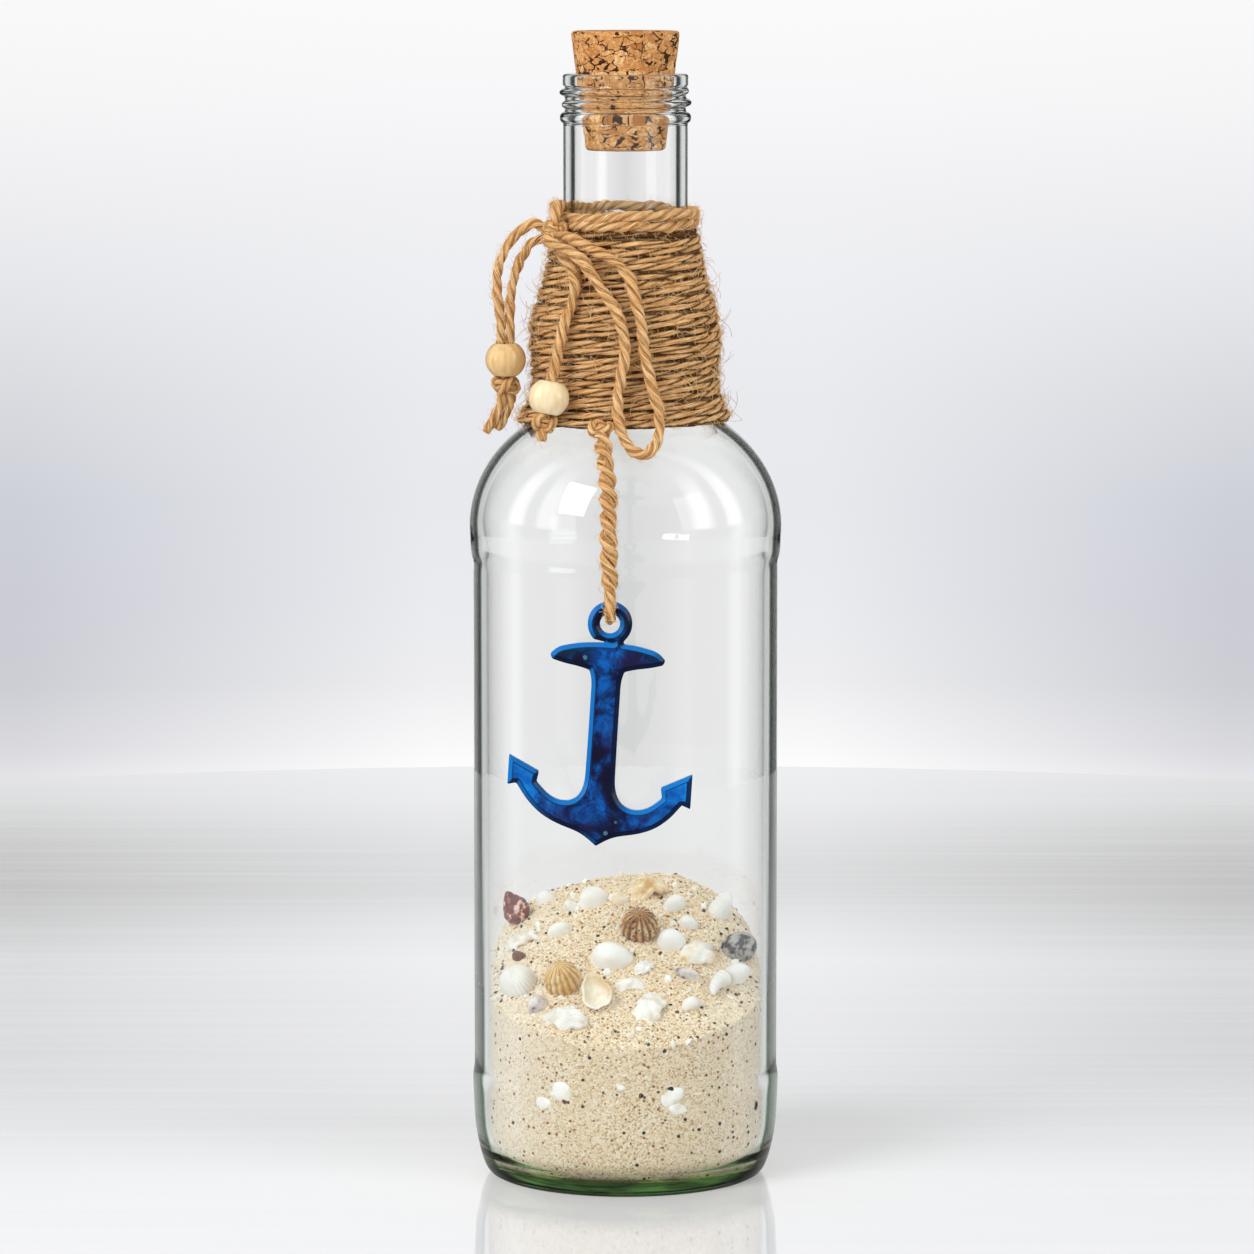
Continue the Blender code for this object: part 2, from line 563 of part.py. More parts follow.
def make_sand():
    """The fill: a banked top over a plug that follows the inside of the glass."""
    reach = sand_radius()
    floor = BASE_THICKNESS + GAP
    turns = [360 * side / SAND_SIDES for side in range(SAND_SIDES)]
    work = bmesh.new()
    top = work.verts.new((0, 0, sand_height(0, 0)))
    rings = []
    for ring in range(1, SAND_RINGS + 1):
        radius = reach * ring / SAND_RINGS
        row = [polar(radius, degrees, 0) for degrees in turns]
        rings.append([work.verts.new((p.x, p.y, sand_height(p.x, p.y))) for p in row])
    corner = (reach - INNER_HEEL_WIDTH, floor + INNER_HEEL_HEIGHT)
    for radius, height in arc(*corner, INNER_HEEL_WIDTH, INNER_HEEL_HEIGHT, 0, -90, 3):
        rings.append([work.verts.new(polar(radius, degrees, height)) for degrees in turns])
    bottom = work.verts.new((0, 0, floor))
    for side in range(SAND_SIDES):
        following = (side + 1) % SAND_SIDES
        work.faces.new((top, rings[0][side], rings[0][following]))
        work.faces.new((bottom, rings[-1][following], rings[-1][side]))
        for inner, outer in zip(rings, rings[1:]):
            work.faces.new((inner[side], outer[side], outer[following], inner[following]))
    add_mesh("sand_bed", work, "sand", 50)


def sand_normal(across, depth):
    step = sand_radius() / SAND_RINGS
    slope_x = (sand_height(across + step, depth) - sand_height(across - step, depth)) / (2 * step)
    slope_y = (sand_height(across, depth + step) - sand_height(across, depth - step)) / (2 * step)
    return Vector((-slope_x, -slope_y, 1)).normalized()


def seat_frame(across, depth, turn, reach):
    """Places a flat-bottomed piece on the sand, tilted with the slope and clear of its highest grain."""
    normal = sand_normal(across, depth)
    spot = Vector((across, depth, sand_height(across, depth)))
    along = Vector((math.cos(turn), math.sin(turn), 0))
    along = (along - normal * along.dot(normal)).normalized()
    aside = normal.cross(along)
    highest = 0.0
    for step in range(12):
        angle = math.tau * step / 12
        probe = spot + (along * math.cos(angle) + aside * math.sin(angle)) * reach
        highest = max(highest, (sand_height(probe.x, probe.y) - probe.z) * normal.z)
    frame = Matrix((along, aside, normal)).transposed().to_4x4()
    frame.translation = spot + normal * (highest + GAP)
    return frame


def make_shell(name, kind, across_share, depth_share, degrees, *sizes):
    """A shell or stone: rings of one outline that rise to a point, on a flat underside."""
    length_share, width_share, height_share, finish = sizes
    waves, wave_share, taper_share, rings_shares = shell_form_shares[kind]
    length, width = SHELL_LENGTH * length_share / 2, SHELL_LENGTH * width_share / 2
    height = SHELL_LENGTH * height_share
    work = bmesh.new()
    rings = []
    for rise_share, size_share in rings_shares:
        row = []
        for side in range(SHELL_SIDES):
            angle = math.tau * side / SHELL_SIDES
            wave = 1 + wave_share * math.cos(waves * angle)
            taper = 1 - taper_share * 0.5 * (1 + math.cos(angle))
            x = length * size_share * wave * math.cos(angle)
            y = width * size_share * wave * taper * math.sin(angle)
            row.append(work.verts.new((x, y, height * rise_share)))
        rings.append(row)
    peak = work.verts.new((0, 0, height))
    for side in range(SHELL_SIDES):
        following = (side + 1) % SHELL_SIDES
        for lower, upper in zip(rings, rings[1:]):
            work.faces.new((lower[side], lower[following], upper[following], upper[side]))
        work.faces.new((rings[-1][side], rings[-1][following], peak))
    work.faces.new(rings[0][::-1])
    shell = add_mesh(name, work, finish, 50)
    reach = sand_radius()
    seat = max(length, width) * SHELL_SEAT_SHARE
    shell.matrix_world = seat_frame(across_share * reach, depth_share * reach, math.radians(degrees), seat)


def make_underlay():
    """The hidden inner layers of twine, which give the wrap its bell shape."""
    foot = WRAP_FOOT + UNDERLAY_FOOT_INSET
    rise = (WRAP_HEAD - UNDERLAY_HEAD_INSET - foot) / UNDERLAY_STEPS
    heights = [foot + rise * step for step in range(UNDERLAY_STEPS + 1)]
    inset = 2 * TWINE_RADIUS + UNDERLAY_GAP
    outside = [(wrap_radius(height) - inset, height) for height in heights]
    inside = [(glass_radius(height) + 2 * GAP, height) for height in reversed(heights)]
    add_turned("twine_underlay", outside + inside, UNDERLAY_SIDES, "twine")


def least_gap(points, radius, apart):
    """Least distance between the surfaces of a tube's own turns, for points further along it than a span."""
    least = None
    for first, point in enumerate(points):
        for other in points[first + apart:]:
            distance = (point - other).length - 2 * radius
            least = distance if least is None else min(least, distance)
    return least


def with_straight_ends(points, length):
    """Adds a straight run of the length at both ends."""
    head = points[0] + (points[0] - points[1]).normalized() * length
    tail = points[-1] + (points[-1] - points[-2]).normalized() * length
    return [head, *points, tail]


def make_winding():
    """The outer layer of twine as one unbroken coil from the shoulder to the neck."""
    steps = WRAP_LOOPS * POINTS_PER_LOOP
    points = []
    for step in range(steps + 1):
        height = WRAP_FOOT + (WRAP_HEAD - WRAP_FOOT) * step / steps
        radius = wrap_radius(height) - TWINE_RADIUS
        points.append(polar(radius, WRAP_START_DEGREES + 360 * step / POINTS_PER_LOOP, height))
    points = with_straight_ends(points, 2 * TWINE_RADIUS)
    add_cord("neck_twine", points, TWINE_RADIUS, "twine", sides_step=1)
    gap = least_gap(points, TWINE_RADIUS, POINTS_PER_LOOP // 2)
    print(f"neck_twine: least gap to itself {gap * 1000:.2f} mm")


def tie_radius():
    return NECK_RADIUS + 2 * GAP + TIE_TWINE_RADIUS


def knot_place():
    """Middle of the bow's knot, which sits on the tie."""
    return polar(tie_radius() + TIE_TWINE_RADIUS + GAP + KNOT_RADIUS, KNOT_DEGREES, WRAP_HEAD + KNOT_LIFT)


def make_tie():
    """Two turns of thicker twine over the head of the wrap. The upper end comes down into the knot."""
    steps = TIE_TURNS * POINTS_PER_LOOP
    knot = knot_place()
    seat = KNOT_RADIUS + GAP
    points = []
    for step in range(steps):
        degrees = KNOT_DEGREES + 360 * step / POINTS_PER_LOOP
        points.append(polar(tie_radius(), degrees, WRAP_HEAD + TIE_LIFT + TIE_PITCH * step / POINTS_PER_LOOP))
    top = points[-1]
    over = knot + Vector((0, 0, seat + 2 * TIE_TWINE_RADIUS))
    lead = top.lerp(over, TIE_LEAD_SHARE) + Vector((0, 0, TIE_TWINE_RADIUS))
    points += [lead, over, knot + Vector((0, 0, seat))]
    start = points[0] + (points[0] - points[1]).normalized() * 2 * TIE_TWINE_RADIUS
    points.insert(0, start)
    add_cord("tie_twine", points, TIE_TWINE_RADIUS, "twine", sides_step=1)
    gap = least_gap(points, TIE_TWINE_RADIUS, POINTS_PER_LOOP // 2)
    print(f"tie_twine: least gap to itself {gap * 1000:.2f} mm")


def add_ball(name, place, half_sizes, upright, finish):
    """A rounded lump with its own upright direction."""
    work = bmesh.new()
    bmesh.ops.create_uvsphere(work, u_segments=BALL_SIDES, v_segments=BALL_RINGS, radius=1)
    bmesh.ops.scale(work, vec=half_sizes, verts=work.verts)
    ball = add_mesh(name, work, finish, 60)
    turn = Vector((0, 0, 1)).rotation_difference(upright).to_matrix().to_4x4()
    ball.matrix_world = Matrix.Translation(place) @ turn
    return ball


def make_bead(name, place, upright):
    """A barrel bead with a hole along its length."""
    rise = BEAD_HALF_HEIGHT / math.sin(math.radians(BEAD_END_DEGREES))
    outside = arc(0, 0, BEAD_RADIUS, rise, -BEAD_END_DEGREES, BEAD_END_DEGREES, 6)
    hole = [(BEAD_HOLE_RADIUS, BEAD_HALF_HEIGHT), (BEAD_HOLE_RADIUS, -BEAD_HALF_HEIGHT)]
    bead = add_turned(name, outside + hole, BEAD_SIDES, "bead_wood")
    turn = Vector((0, 0, 1)).rotation_difference(upright).to_matrix().to_4x4()
    bead.matrix_world = Matrix.Translation(place) @ turn


def make_string_foot(prefix, last, upright):
    """The bead and the stopper knot at the foot of a string. It returns where the string goes on."""
    bead_place = last + upright * BEAD_HALF_HEIGHT
    knot_middle = last - upright * (GAP + END_KNOT_HALF_HEIGHT)
    make_bead(prefix + "_bead", bead_place, upright)
    half_sizes = (END_KNOT_RADIUS, END_KNOT_DEPTH, END_KNOT_HALF_HEIGHT)
    add_ball(prefix + "_stopper_knot", knot_middle, half_sizes, upright, "twine")
    start = knot_middle - upright * (END_KNOT_HALF_HEIGHT + GAP)
    return [start, start - upright * 2 * STRING_END_RADIUS]


def leave_knot(way_shares, radius):
    """The first two points of a string that leaves the knot squarely and runs straight for its own width."""
    outward = polar(1, KNOT_DEGREES, 0)
    along = Vector((-outward.y, outward.x, 0))
    way = along * way_shares[0] + outward * way_shares[1] + Vector((0, 0, way_shares[2]))
    way.normalize()
    start = knot_place() + way * (KNOT_RADIUS + GAP)
    return [start, start + way * 2 * radius]


def from_knot(route):
    """Points of a route that is written from the middle of the knot."""
    return [knot_place() + Vector(point) for point in route]


def make_bow():
    add_ball("bow_knot", knot_place(), (KNOT_RADIUS, KNOT_RADIUS, KNOT_RADIUS), Vector((0, 0, 1)), "twine")
    out = leave_knot(loop_out_way_shares, LOOP_STRING_RADIUS)
    back = leave_knot(loop_back_way_shares, LOOP_STRING_RADIUS)
    loop = [*out, *from_knot(bow_loop_route), *reversed(back)]
    add_cord("bow_loop", loop, LOOP_STRING_RADIUS, "twine")

    outer = leave_knot(left_outer_way_shares, STRING_RADIUS) + from_knot(left_outer_route)
    inner = leave_knot(left_inner_way_shares, STRING_RADIUS) + from_knot(left_inner_route)
    add_cord("left_string_outer", smooth_route(outer, 2), STRING_RADIUS, "twine")
    add_cord("left_string_inner", smooth_route(inner, 2), STRING_RADIUS, "twine")
    left_foot = (outer[-1] + inner[-1]) / 2
    left_end = make_string_foot("left", left_foot, Vector((0, 0, 1)))
    left_end += from_knot(left_end_route)
    add_cord("left_string_end", left_end, STRING_END_RADIUS, "twine")

    tail = leave_knot(tail_way_shares, TAIL_STRING_RADIUS) + from_knot(tail_route)
    add_cord("tail_string", smooth_route(tail, 2), TAIL_STRING_RADIUS, "twine")
    upright = (tail[-3] - tail[-1]).normalized()
    tail_end = make_string_foot("tail", tail[-1], upright)
    add_cord("tail_string_end", tail_end, STRING_END_RADIUS, "twine")


def anchor_place():
    """Middle of the anchor's eye, clear of the panel of the glass."""
    depth = PANEL_RADIUS + ANCHOR_STAND_OFF + ANCHOR_THICKNESS / 2
    return Vector((ANCHOR_ACROSS, -depth, WRAP_FOOT - ANCHOR_BELOW_WRAP))


def bar_middle():
    """Middle of the bar at the top of the anchor's eye, round which the cord passes."""
    return anchor_place() + Vector((0, 0, (EYE_RADIUS + EYE_HOLE_RADIUS) / 2))


def loop_bend_radius():
    half_bar = (EYE_RADIUS - EYE_HOLE_RADIUS) / 2
    corner = math.hypot(half_bar, ANCHOR_THICKNESS / 2) - ANCHOR_EDGE * (math.sqrt(2) - 1)
    return corner + GAP + LOOP_TWINE_RADIUS


def pendant_points():
    """The pendant cord's route, laid over the shoulder and down in front of the panel."""
    points = []
    for across, off, below in pendant_route:
        height = WRAP_FOOT - below
        reach = glass_radius(height) + off
        points.append(Vector((across, -math.sqrt(reach**2 - across**2), height)))
    return points


def make_pendant_cord():
    """The doubled cord over the shoulder. Its lower end opens into a loop through the anchor's eye."""
    route = smooth_route(pendant_points(), 2)
    cord = add_cord("pendant_cord", route, PENDANT_RADIUS, "twine", pendant_end_shares)
    middle = bar_middle()
    bend = loop_bend_radius()
    side = [(LOOP_TWINE_RADIUS * out, LOOP_TWINE_RADIUS * up) for out, up in pendant_loop_shares]
    under = arc(0, 0, bend, bend, 0, -180, 8)
    outline = side + under + [(-out, up) for out, up in reversed(side)]
    points = [middle + Vector((0, -out, up)) for out, up in outline]
    loop = as_mesh(add_cord("pendant_loop_guide", points, LOOP_TWINE_RADIUS, "twine"))
    combine(as_mesh(cord), loop, "UNION")


def make_hitch():
    """The half hitch by which the pendant cord leaves the foot of the wrap."""
    first, second = pendant_points()[:2]
    back = (first - second).normalized()
    place = first + back * (HITCH_DEPTH + GAP)
    add_ball("pendant_hitch", place, (HITCH_WIDTH, HITCH_DEPTH, HITCH_DEPTH), back, "twine")


def skew_arm(across, up):
    """Tips the arms a little to the right, as they are not quite square to the shank."""
    weight = min(1, max(0, (-up / ANCHOR_DROP - ARM_SKEW_START_SHARE) / ARM_SKEW_BLEND_SHARE))
    return across, up - ARM_SKEW_SHARE * weight * across


def make_anchor():
    """A flat anchor with rounded edges and a round eye, hung a little out of plumb."""
    work = bmesh.new()
    right = [(out * ANCHOR_HALF_SPAN, -down * ANCHOR_DROP) for out, down in anchor_outline_shares]
    left = [(-out, down) for out, down in reversed(right[:-1])]
    right = [skew_arm(*point) for point in right]
    left = [skew_arm(*point) for point in left]
    start = math.degrees(math.atan2(right[0][1], right[0][0])) + EYE_JOIN_DEGREES
    eye = arc(0, 0, EYE_RADIUS, EYE_RADIUS, 180 - start, start, EYE_SIDES - 2)
    outline = right + left + eye
    front = [work.verts.new((x, -ANCHOR_THICKNESS / 2, z)) for x, z in outline]
    face = work.faces.new(front)
    moved = bmesh.ops.extrude_face_region(work, geom=[face])
    back = [item for item in moved["geom"] if isinstance(item, bmesh.types.BMVert)]
    bmesh.ops.translate(work, vec=(0, ANCHOR_THICKNESS, 0), verts=back)
    anchor = add_mesh("anchor", work, "anchor_enamel", 30)
    drill = bmesh.new()
    depth = 2 * ANCHOR_THICKNESS
    hole = EYE_HOLE_RADIUS
    bmesh.ops.create_cone(drill, cap_ends=True, segments=EYE_SIDES, radius1=hole, radius2=hole, depth=depth)
    bmesh.ops.rotate(drill, cent=(0, 0, 0), matrix=Matrix.Rotation(math.pi / 2, 3, "X"), verts=drill.verts)
    guide = add_mesh("eye_guide", drill, "anchor_enamel")
    combine(anchor, guide, "DIFFERENCE")
    rounding = anchor.modifiers.new("edges", "BEVEL")
    rounding.width = ANCHOR_EDGE
    rounding.segments = 2
    rounding.limit_method = "ANGLE"
    rounding.angle_limit = math.radians(50)
    tilt = Matrix.Translation(anchor_place()) @ Matrix.Rotation(math.radians(ANCHOR_TILT_DEGREES), 4, "Y")
    anchor.matrix_world = tilt
    guide.matrix_world = tilt


clear_scene()
make_bottle()
make_cork()
make_sand()
for shell_row in shell_shares:
    make_shell(*shell_row)
make_underlay()
make_winding()
make_tie()
make_bow()
make_pendant_cord()
make_hitch()
make_anchor()
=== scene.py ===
# Looks of a corked glass bottle with sand and shells, a twine-wound neck, a beaded bow and a hanging anchor.
import json
import math

import bmesh
import bpy
import numpy as np
from mathutils import Matrix, Vector
from mathutils.kdtree import KDTree


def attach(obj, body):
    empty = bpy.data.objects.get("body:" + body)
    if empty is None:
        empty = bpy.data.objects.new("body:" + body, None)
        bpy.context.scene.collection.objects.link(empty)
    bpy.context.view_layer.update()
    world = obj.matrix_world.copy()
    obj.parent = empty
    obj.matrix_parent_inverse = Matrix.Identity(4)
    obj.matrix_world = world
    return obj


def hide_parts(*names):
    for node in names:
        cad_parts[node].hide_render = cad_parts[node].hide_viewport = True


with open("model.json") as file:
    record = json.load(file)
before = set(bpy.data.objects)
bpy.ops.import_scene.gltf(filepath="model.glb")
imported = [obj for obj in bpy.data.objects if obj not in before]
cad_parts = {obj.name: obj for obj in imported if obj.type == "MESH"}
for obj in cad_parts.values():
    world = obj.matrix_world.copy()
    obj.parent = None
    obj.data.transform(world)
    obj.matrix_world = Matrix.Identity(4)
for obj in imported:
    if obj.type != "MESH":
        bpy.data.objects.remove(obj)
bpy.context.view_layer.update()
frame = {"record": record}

scene = bpy.context.scene
scene.view_settings.view_transform = "Standard"


# meshes
def camel(text):
    head, *rest = text.split("_")
    return head + "".join(word.capitalize() for word in rest)


def addObject(name, data):
    item = bpy.data.objects.new(name, data)
    scene.collection.objects.link(item)
    return item


def readPoints(mesh, key="co"):
    flat = np.empty(len(mesh.vertices) * 3, dtype=np.float32)
    mesh.vertices.foreach_get(key, flat)
    return flat.reshape(-1, 3)


def setMarks(mesh, marks):
    # numbers for each point, which the materials read
    for key, values in marks.items():
        values = np.asarray(values, dtype=np.float32)
        mesh.attributes.new(key, "FLOAT", "POINT").data.foreach_set("value", values)


def turnOutward(mesh):
    # a closed mesh with a negative volume is inside out
    mesh.calc_loop_triangles()
    corners = np.empty(len(mesh.loop_triangles) * 3, dtype=np.int32)
    mesh.loop_triangles.foreach_get("vertices", corners)
    places = readPoints(mesh).astype(float)
    a, b, c = np.moveaxis((places - places.mean(0))[corners.reshape(-1, 3)], 1, 0)
    if np.einsum("ij,ij->i", a, np.cross(b, c)).sum() < 0:
        mesh.flip_normals()


def makePiece(name, points, faces, material, uv=None, marks=None):
    mesh = bpy.data.meshes.new(name)
    mesh.from_pydata(np.asarray(points).tolist(), [], faces)
    if uv is not None:
        mesh.uv_layers.new(name="strand").data.foreach_set("uv", np.asarray(uv, dtype=np.float32).ravel())
    setMarks(mesh, marks or {})
    mesh.materials.append(material)
    turnOutward(mesh)
    mesh.shade_smooth()
    return addObject(name, mesh)


def bakeOut(carrier):
    # the finished mesh of an object with modifiers, which is then removed
    bpy.context.view_layer.update()
    mesh = bpy.data.meshes.new_from_object(carrier.evaluated_get(bpy.context.evaluated_depsgraph_get()))
    bpy.data.objects.remove(carrier, do_unlink=True)
    return mesh


def gridFaces(rows, columns):
    # quads of a grid that closes round its columns
    r, c = np.meshgrid(np.arange(rows - 1), np.arange(columns), indexing="ij")
    d = (c + 1) % columns
    quads = np.stack([r * columns + c, r * columns + d, (r + 1) * columns + d, (r + 1) * columns + c], -1)
    return quads.reshape(-1, 4).tolist()


def cappedFaces(rows, sides):
    # the grid closed by one more point at each end
    faces, low, last = gridFaces(rows, sides), rows * sides, (rows - 1) * sides
    for side in range(sides):
        following = (side + 1) % sides
        faces += [[low, following, side], [low + 1, last + side, last + following]]
    return faces


def ringFaces(rows, sides):
    # the grid with its last row joined to its first
    faces, last = gridFaces(rows, sides), (rows - 1) * sides
    for side in range(sides):
        following = (side + 1) % sides
        faces.append([last + side, last + following, following, side])
    return faces


def gridUv(rows, columns, along, wraps=1.0):
    # one pair for each corner of gridFaces
    r, c = np.meshgrid(np.arange(rows - 1), np.arange(columns), indexing="ij")
    u0, u1 = along[r], along[r + 1]
    v0, v1 = wraps * c / columns, wraps * (c + 1) / columns
    return np.stack([u0, v0, u0, v1, u1, v1, u1, v0], -1).reshape(-1, 2)


def cappedUv(rows, sides, along):
    ends = []
    for side in range(sides):
        here, after = side / sides, (side + 1) / sides
        ends += [(0, 0.5), (0, after), (0, here), (1, 0.5), (1, here), (1, after)]
    return np.concatenate([gridUv(rows, sides, along), ends])


def around(sides):
    return 2 * np.pi * np.arange(sides) / sides


def spun(radius, height, angles):
    return np.stack([radius * np.cos(angles), radius * np.sin(angles), height + 0 * radius * angles], -1)


def turned(name, outline, sides, material, offset, marks=None):
    # an outline of (radius, height) turned about Z, closed on the axis at both ends
    angles, radius, height = around(sides), outline[1:-1, :1], outline[1:-1, 1:]
    reach = np.repeat(radius, sides, 1)
    points = spun(reach + offset(reach, angles[None, :], height), height, angles).reshape(-1, 3)
    points = np.concatenate([points, [[0, 0, outline[0, 1]], [0, 0, outline[-1, 1]]]])
    marks = {key: [*np.repeat(values[1:-1], sides), values[0], values[-1]]
             for key, values in (marks or {}).items()}
    return makePiece(name, points, cappedFaces(len(radius), sides), material, marks=marks)


# paths
def stepLengths(path):
    return np.linalg.norm(np.diff(path, axis=0), axis=1)


def distances(path):
    return np.concatenate([[0], np.cumsum(stepLengths(path))])


def unitRows(ways):
    return ways / np.linalg.norm(ways, axis=1)[:, None]


def evenPath(path, spacing):
    far = distances(path)
    wanted = np.linspace(0, far[-1], max(3, int(round(far[-1] / spacing)) + 1))
    return np.stack([np.interp(wanted, far, path[:, k]) for k in range(3)], -1)


def smoothPath(points, spacing):
    # an even Catmull-Rom path through the points
    knots = np.asarray(points, dtype=float)
    knots = np.concatenate([[2 * knots[0] - knots[1]], knots, [2 * knots[-1] - knots[-2]]])
    t = np.linspace(0, 1, 12, endpoint=False)[:, None]
    runs = []
    for before, start, end, after in zip(knots, knots[1:], knots[2:], knots[3:]):
        bend = (2 * before - 5 * start + 4 * end - after) * t * t
        twist = (3 * start - before - 3 * end + after) * t**3
        runs.append(0.5 * (2 * start + (end - before) * t + bend + twist))
    return evenPath(np.concatenate([*runs, knots[-2:-1]]), spacing)


def pathFrames(path):
    # two square directions at each point, carried along without turning
    ways = unitRows(np.gradient(path, axis=0))
    aside = np.array((0.0, 0.0, 1.0))
    if abs(aside @ ways[0]) > 0.9:
        aside = np.array((1.0, 0.0, 0.0))
    first = np.empty_like(path)
    for index, way in enumerate(ways):
        aside = aside - way * (aside @ way)
        aside /= np.linalg.norm(aside)
        first[index] = aside
    return first, np.cross(ways, first)


def ellipse(radius, height, width, rise, start, end, steps):
    angles = np.radians(np.linspace(start, end, steps))
    return np.stack([radius + width * np.cos(angles), height + rise * np.sin(angles)], -1)


def softened(outline, spacing, width):
    # the outline at even steps, with its corners eased over the width
    outline = np.asarray(outline, dtype=float)
    far = distances(outline)
    wanted = np.linspace(0, far[-1], int(far[-1] / spacing) + 2)
    even = np.stack([np.interp(wanted, far, outline[:, k]) for k in (0, 1)], -1)
    reach = max(1, int(3 * width / spacing))
    weights = np.exp(-0.5 * (np.arange(-reach, reach + 1) * spacing / width) ** 2)
    weights /= weights.sum()
    padded = np.concatenate([2 * even[0] - even[reach:0:-1], even, 2 * even[-1] - even[-2:-reach - 2:-1]])
    return np.stack([np.convolve(padded[:, k], weights, "valid") for k in (0, 1)], -1)


def waver(places, seed, scale, count=5):
    # smooth wandering between about -1 and 1
    pick = np.random.default_rng(seed)
    total = np.zeros_like(places, dtype=float)
    for _ in range(count):
        total += np.sin(places * 2 * np.pi / (scale * pick.uniform(0.5, 2.2)) + pick.uniform(0, 2 * np.pi))
    return total / count * 1.4


def strandMesh(path, radius, settings, seed, shrink=None):
    # one twisted cord: rounded plies with grooves between them, wound to the left
    spacing = settings["lay"] / settings["ringsPerLay"]
    path = evenPath(path, spacing)
    first, second = (side[:, None] for side in pathFrames(path))
    rows, sides, plies = len(path), settings["sides"], settings["plies"]
    far, angle = np.arange(rows) * spacing, around(sides)
    turn = -2 * np.pi * (far / settings["lay"] + 0.10 * waver(far, seed + 1, 0.02))
    across = 1 - np.abs(angle * plies / (2 * np.pi) % 1 * 2 - 1)  # 0 on a ply's crest, 1 in a groove
    reach = radius * (1 + settings["unevenness"] * waver(far, seed + 2, 0.012))
    if shrink is not None:
        reach = reach * np.interp(np.linspace(0, 1, rows), *shrink)
    plyUneven = 1 + 0.15 * np.stack([waver(far, seed + 5 + int(k * plies / sides), 0.009)
                                     for k in range(sides)], -1)
    body = reach[:, None] * (1 - settings["groove"] * across[None, :] ** 2.2) * plyUneven
    theta = angle[None, :] + turn[:, None]
    outward = np.cos(theta)[..., None] * first + np.sin(theta)[..., None] * second
    points = path[:, None] + body[..., None] * outward
    points = np.concatenate([points.reshape(-1, 3), path[:1], path[-1:]])
    # how far into a groove; the twine's finish paints this as shade
    groove = np.concatenate([np.tile(across ** 2, rows), [0.7, 0.7]])
    return points, cappedFaces(rows, sides), cappedUv(rows, sides, far * 100), groove


def joinStrands(name, strands, material):
    # several strands as one piece
    points, faces, uv, groove = zip(*strands)
    joined, count = [], 0
    for own, some in zip(points, faces):
        joined += [[corner + count for corner in face] for face in some]
        count += len(own)
    return makePiece(name, np.concatenate(points), joined, material, np.concatenate(uv),
                     {"groove": np.concatenate(groove)})


# node trees
def feed(tree, node, key, value):
    if isinstance(value, bpy.types.NodeSocket):
        tree.links.new(value, node.inputs[key])
    else:
        node.inputs[key].default_value = value


def put(tree, kind, values=None, **options):
    node = tree.nodes.new(kind)
    for key, value in options.items():
        setattr(node, key, value)
    for key, value in (values or {}).items():
        feed(tree, node, key, value)
    return node


def calculate(tree, operation, *values):
    return put(tree, "ShaderNodeMath", dict(enumerate(values)), operation=operation).outputs[0]


def product(tree, one, two):
    return calculate(tree, "MULTIPLY", one, two)


def mixColours(tree, factor, low, high, kind="MIX"):
    node = put(tree, "ShaderNodeMix", {0: factor}, data_type="RGBA", blend_type=kind)
    for key, colour in ((6, low), (7, high)):
        feed(tree, node, key, colour if isinstance(colour, bpy.types.NodeSocket) else (*colour, 1.0))
    return node.outputs[2]


def ramp(tree, value, stops, interpolation="LINEAR"):
    node = put(tree, "ShaderNodeValToRGB", {"Fac": value})
    node.color_ramp.interpolation = interpolation
    while len(node.color_ramp.elements) < len(stops):
        node.color_ramp.elements.new(0.5)
    for element, (place, colour) in zip(node.color_ramp.elements, stops):
        element.position = place
        element.color = (*(colour if isinstance(colour, tuple) else (colour,) * 3), 1.0)
    return node.outputs[0]


def spread(tree, value, low, high, toLow=0.0, toHigh=1.0):
    return put(tree, "ShaderNodeMapRange", {
        "Value": value, "From Min": low, "From Max": high, "To Min": toLow, "To Max": toHigh}).outputs[0]


def noise(tree, vector, scale, detail, more=None):
    return put(tree, "ShaderNodeTexNoise",
               {"Vector": vector, "Scale": scale, "Detail": detail, **(more or {})}).outputs


def cells(tree, vector, scale, **options):
    return put(tree, "ShaderNodeTexVoronoi", {"Vector": vector, "Scale": scale}, **options).outputs


def mapped(tree, vector, scale=(1, 1, 1), turn=(0, 0, 0), move=(0, 0, 0)):
    return put(tree, "ShaderNodeMapping",
               {"Vector": vector, "Location": move, "Rotation": turn, "Scale": scale}).outputs[0]


def channel(tree, colour):
    return put(tree, "ShaderNodeSeparateColor", {"Color": colour}).outputs[0]


def axes(tree, vector):
    return put(tree, "ShaderNodeSeparateXYZ", {0: vector}).outputs


def mark(tree, name):
    return put(tree, "ShaderNodeAttribute", attribute_name=name).outputs["Fac"]


def bumped(tree, height, distance, strength, **options):
    return put(tree, "ShaderNodeBump", {"Height": height, "Distance": distance, "Strength": strength},
               **options).outputs[0]


def newTree(name, kind, inputs, outputs):
    # a node group with named sockets
    tree = bpy.data.node_groups.new(name, kind)
    for way, sockets in (("INPUT", inputs), ("OUTPUT", outputs)):
        for label, socket in sockets.items():
            tree.interface.new_socket(label, in_out=way, socket_type="NodeSocket" + socket)
    return tree, put(tree, "NodeGroupInput").outputs, put(tree, "NodeGroupOutput").inputs


# effects that several materials share
def makeSpecks():
    tree, given, out = newTree("scatteredSpecks", "ShaderNodeTree", {
        "Vector": "Vector", "Scale": "Float", "Share": "Float", "Size": "Float"}, {"Mask": "Float"})
    dots = cells(tree, given["Vector"], given["Scale"])
    chosen = calculate(tree, "LESS_THAN", channel(tree, dots["Color"]), given["Share"])
    near = spread(tree, dots["Distance"], given["Size"], product(tree, given["Size"], 0.7))
    tree.links.new(product(tree, chosen, near), out["Mask"])
    return tree


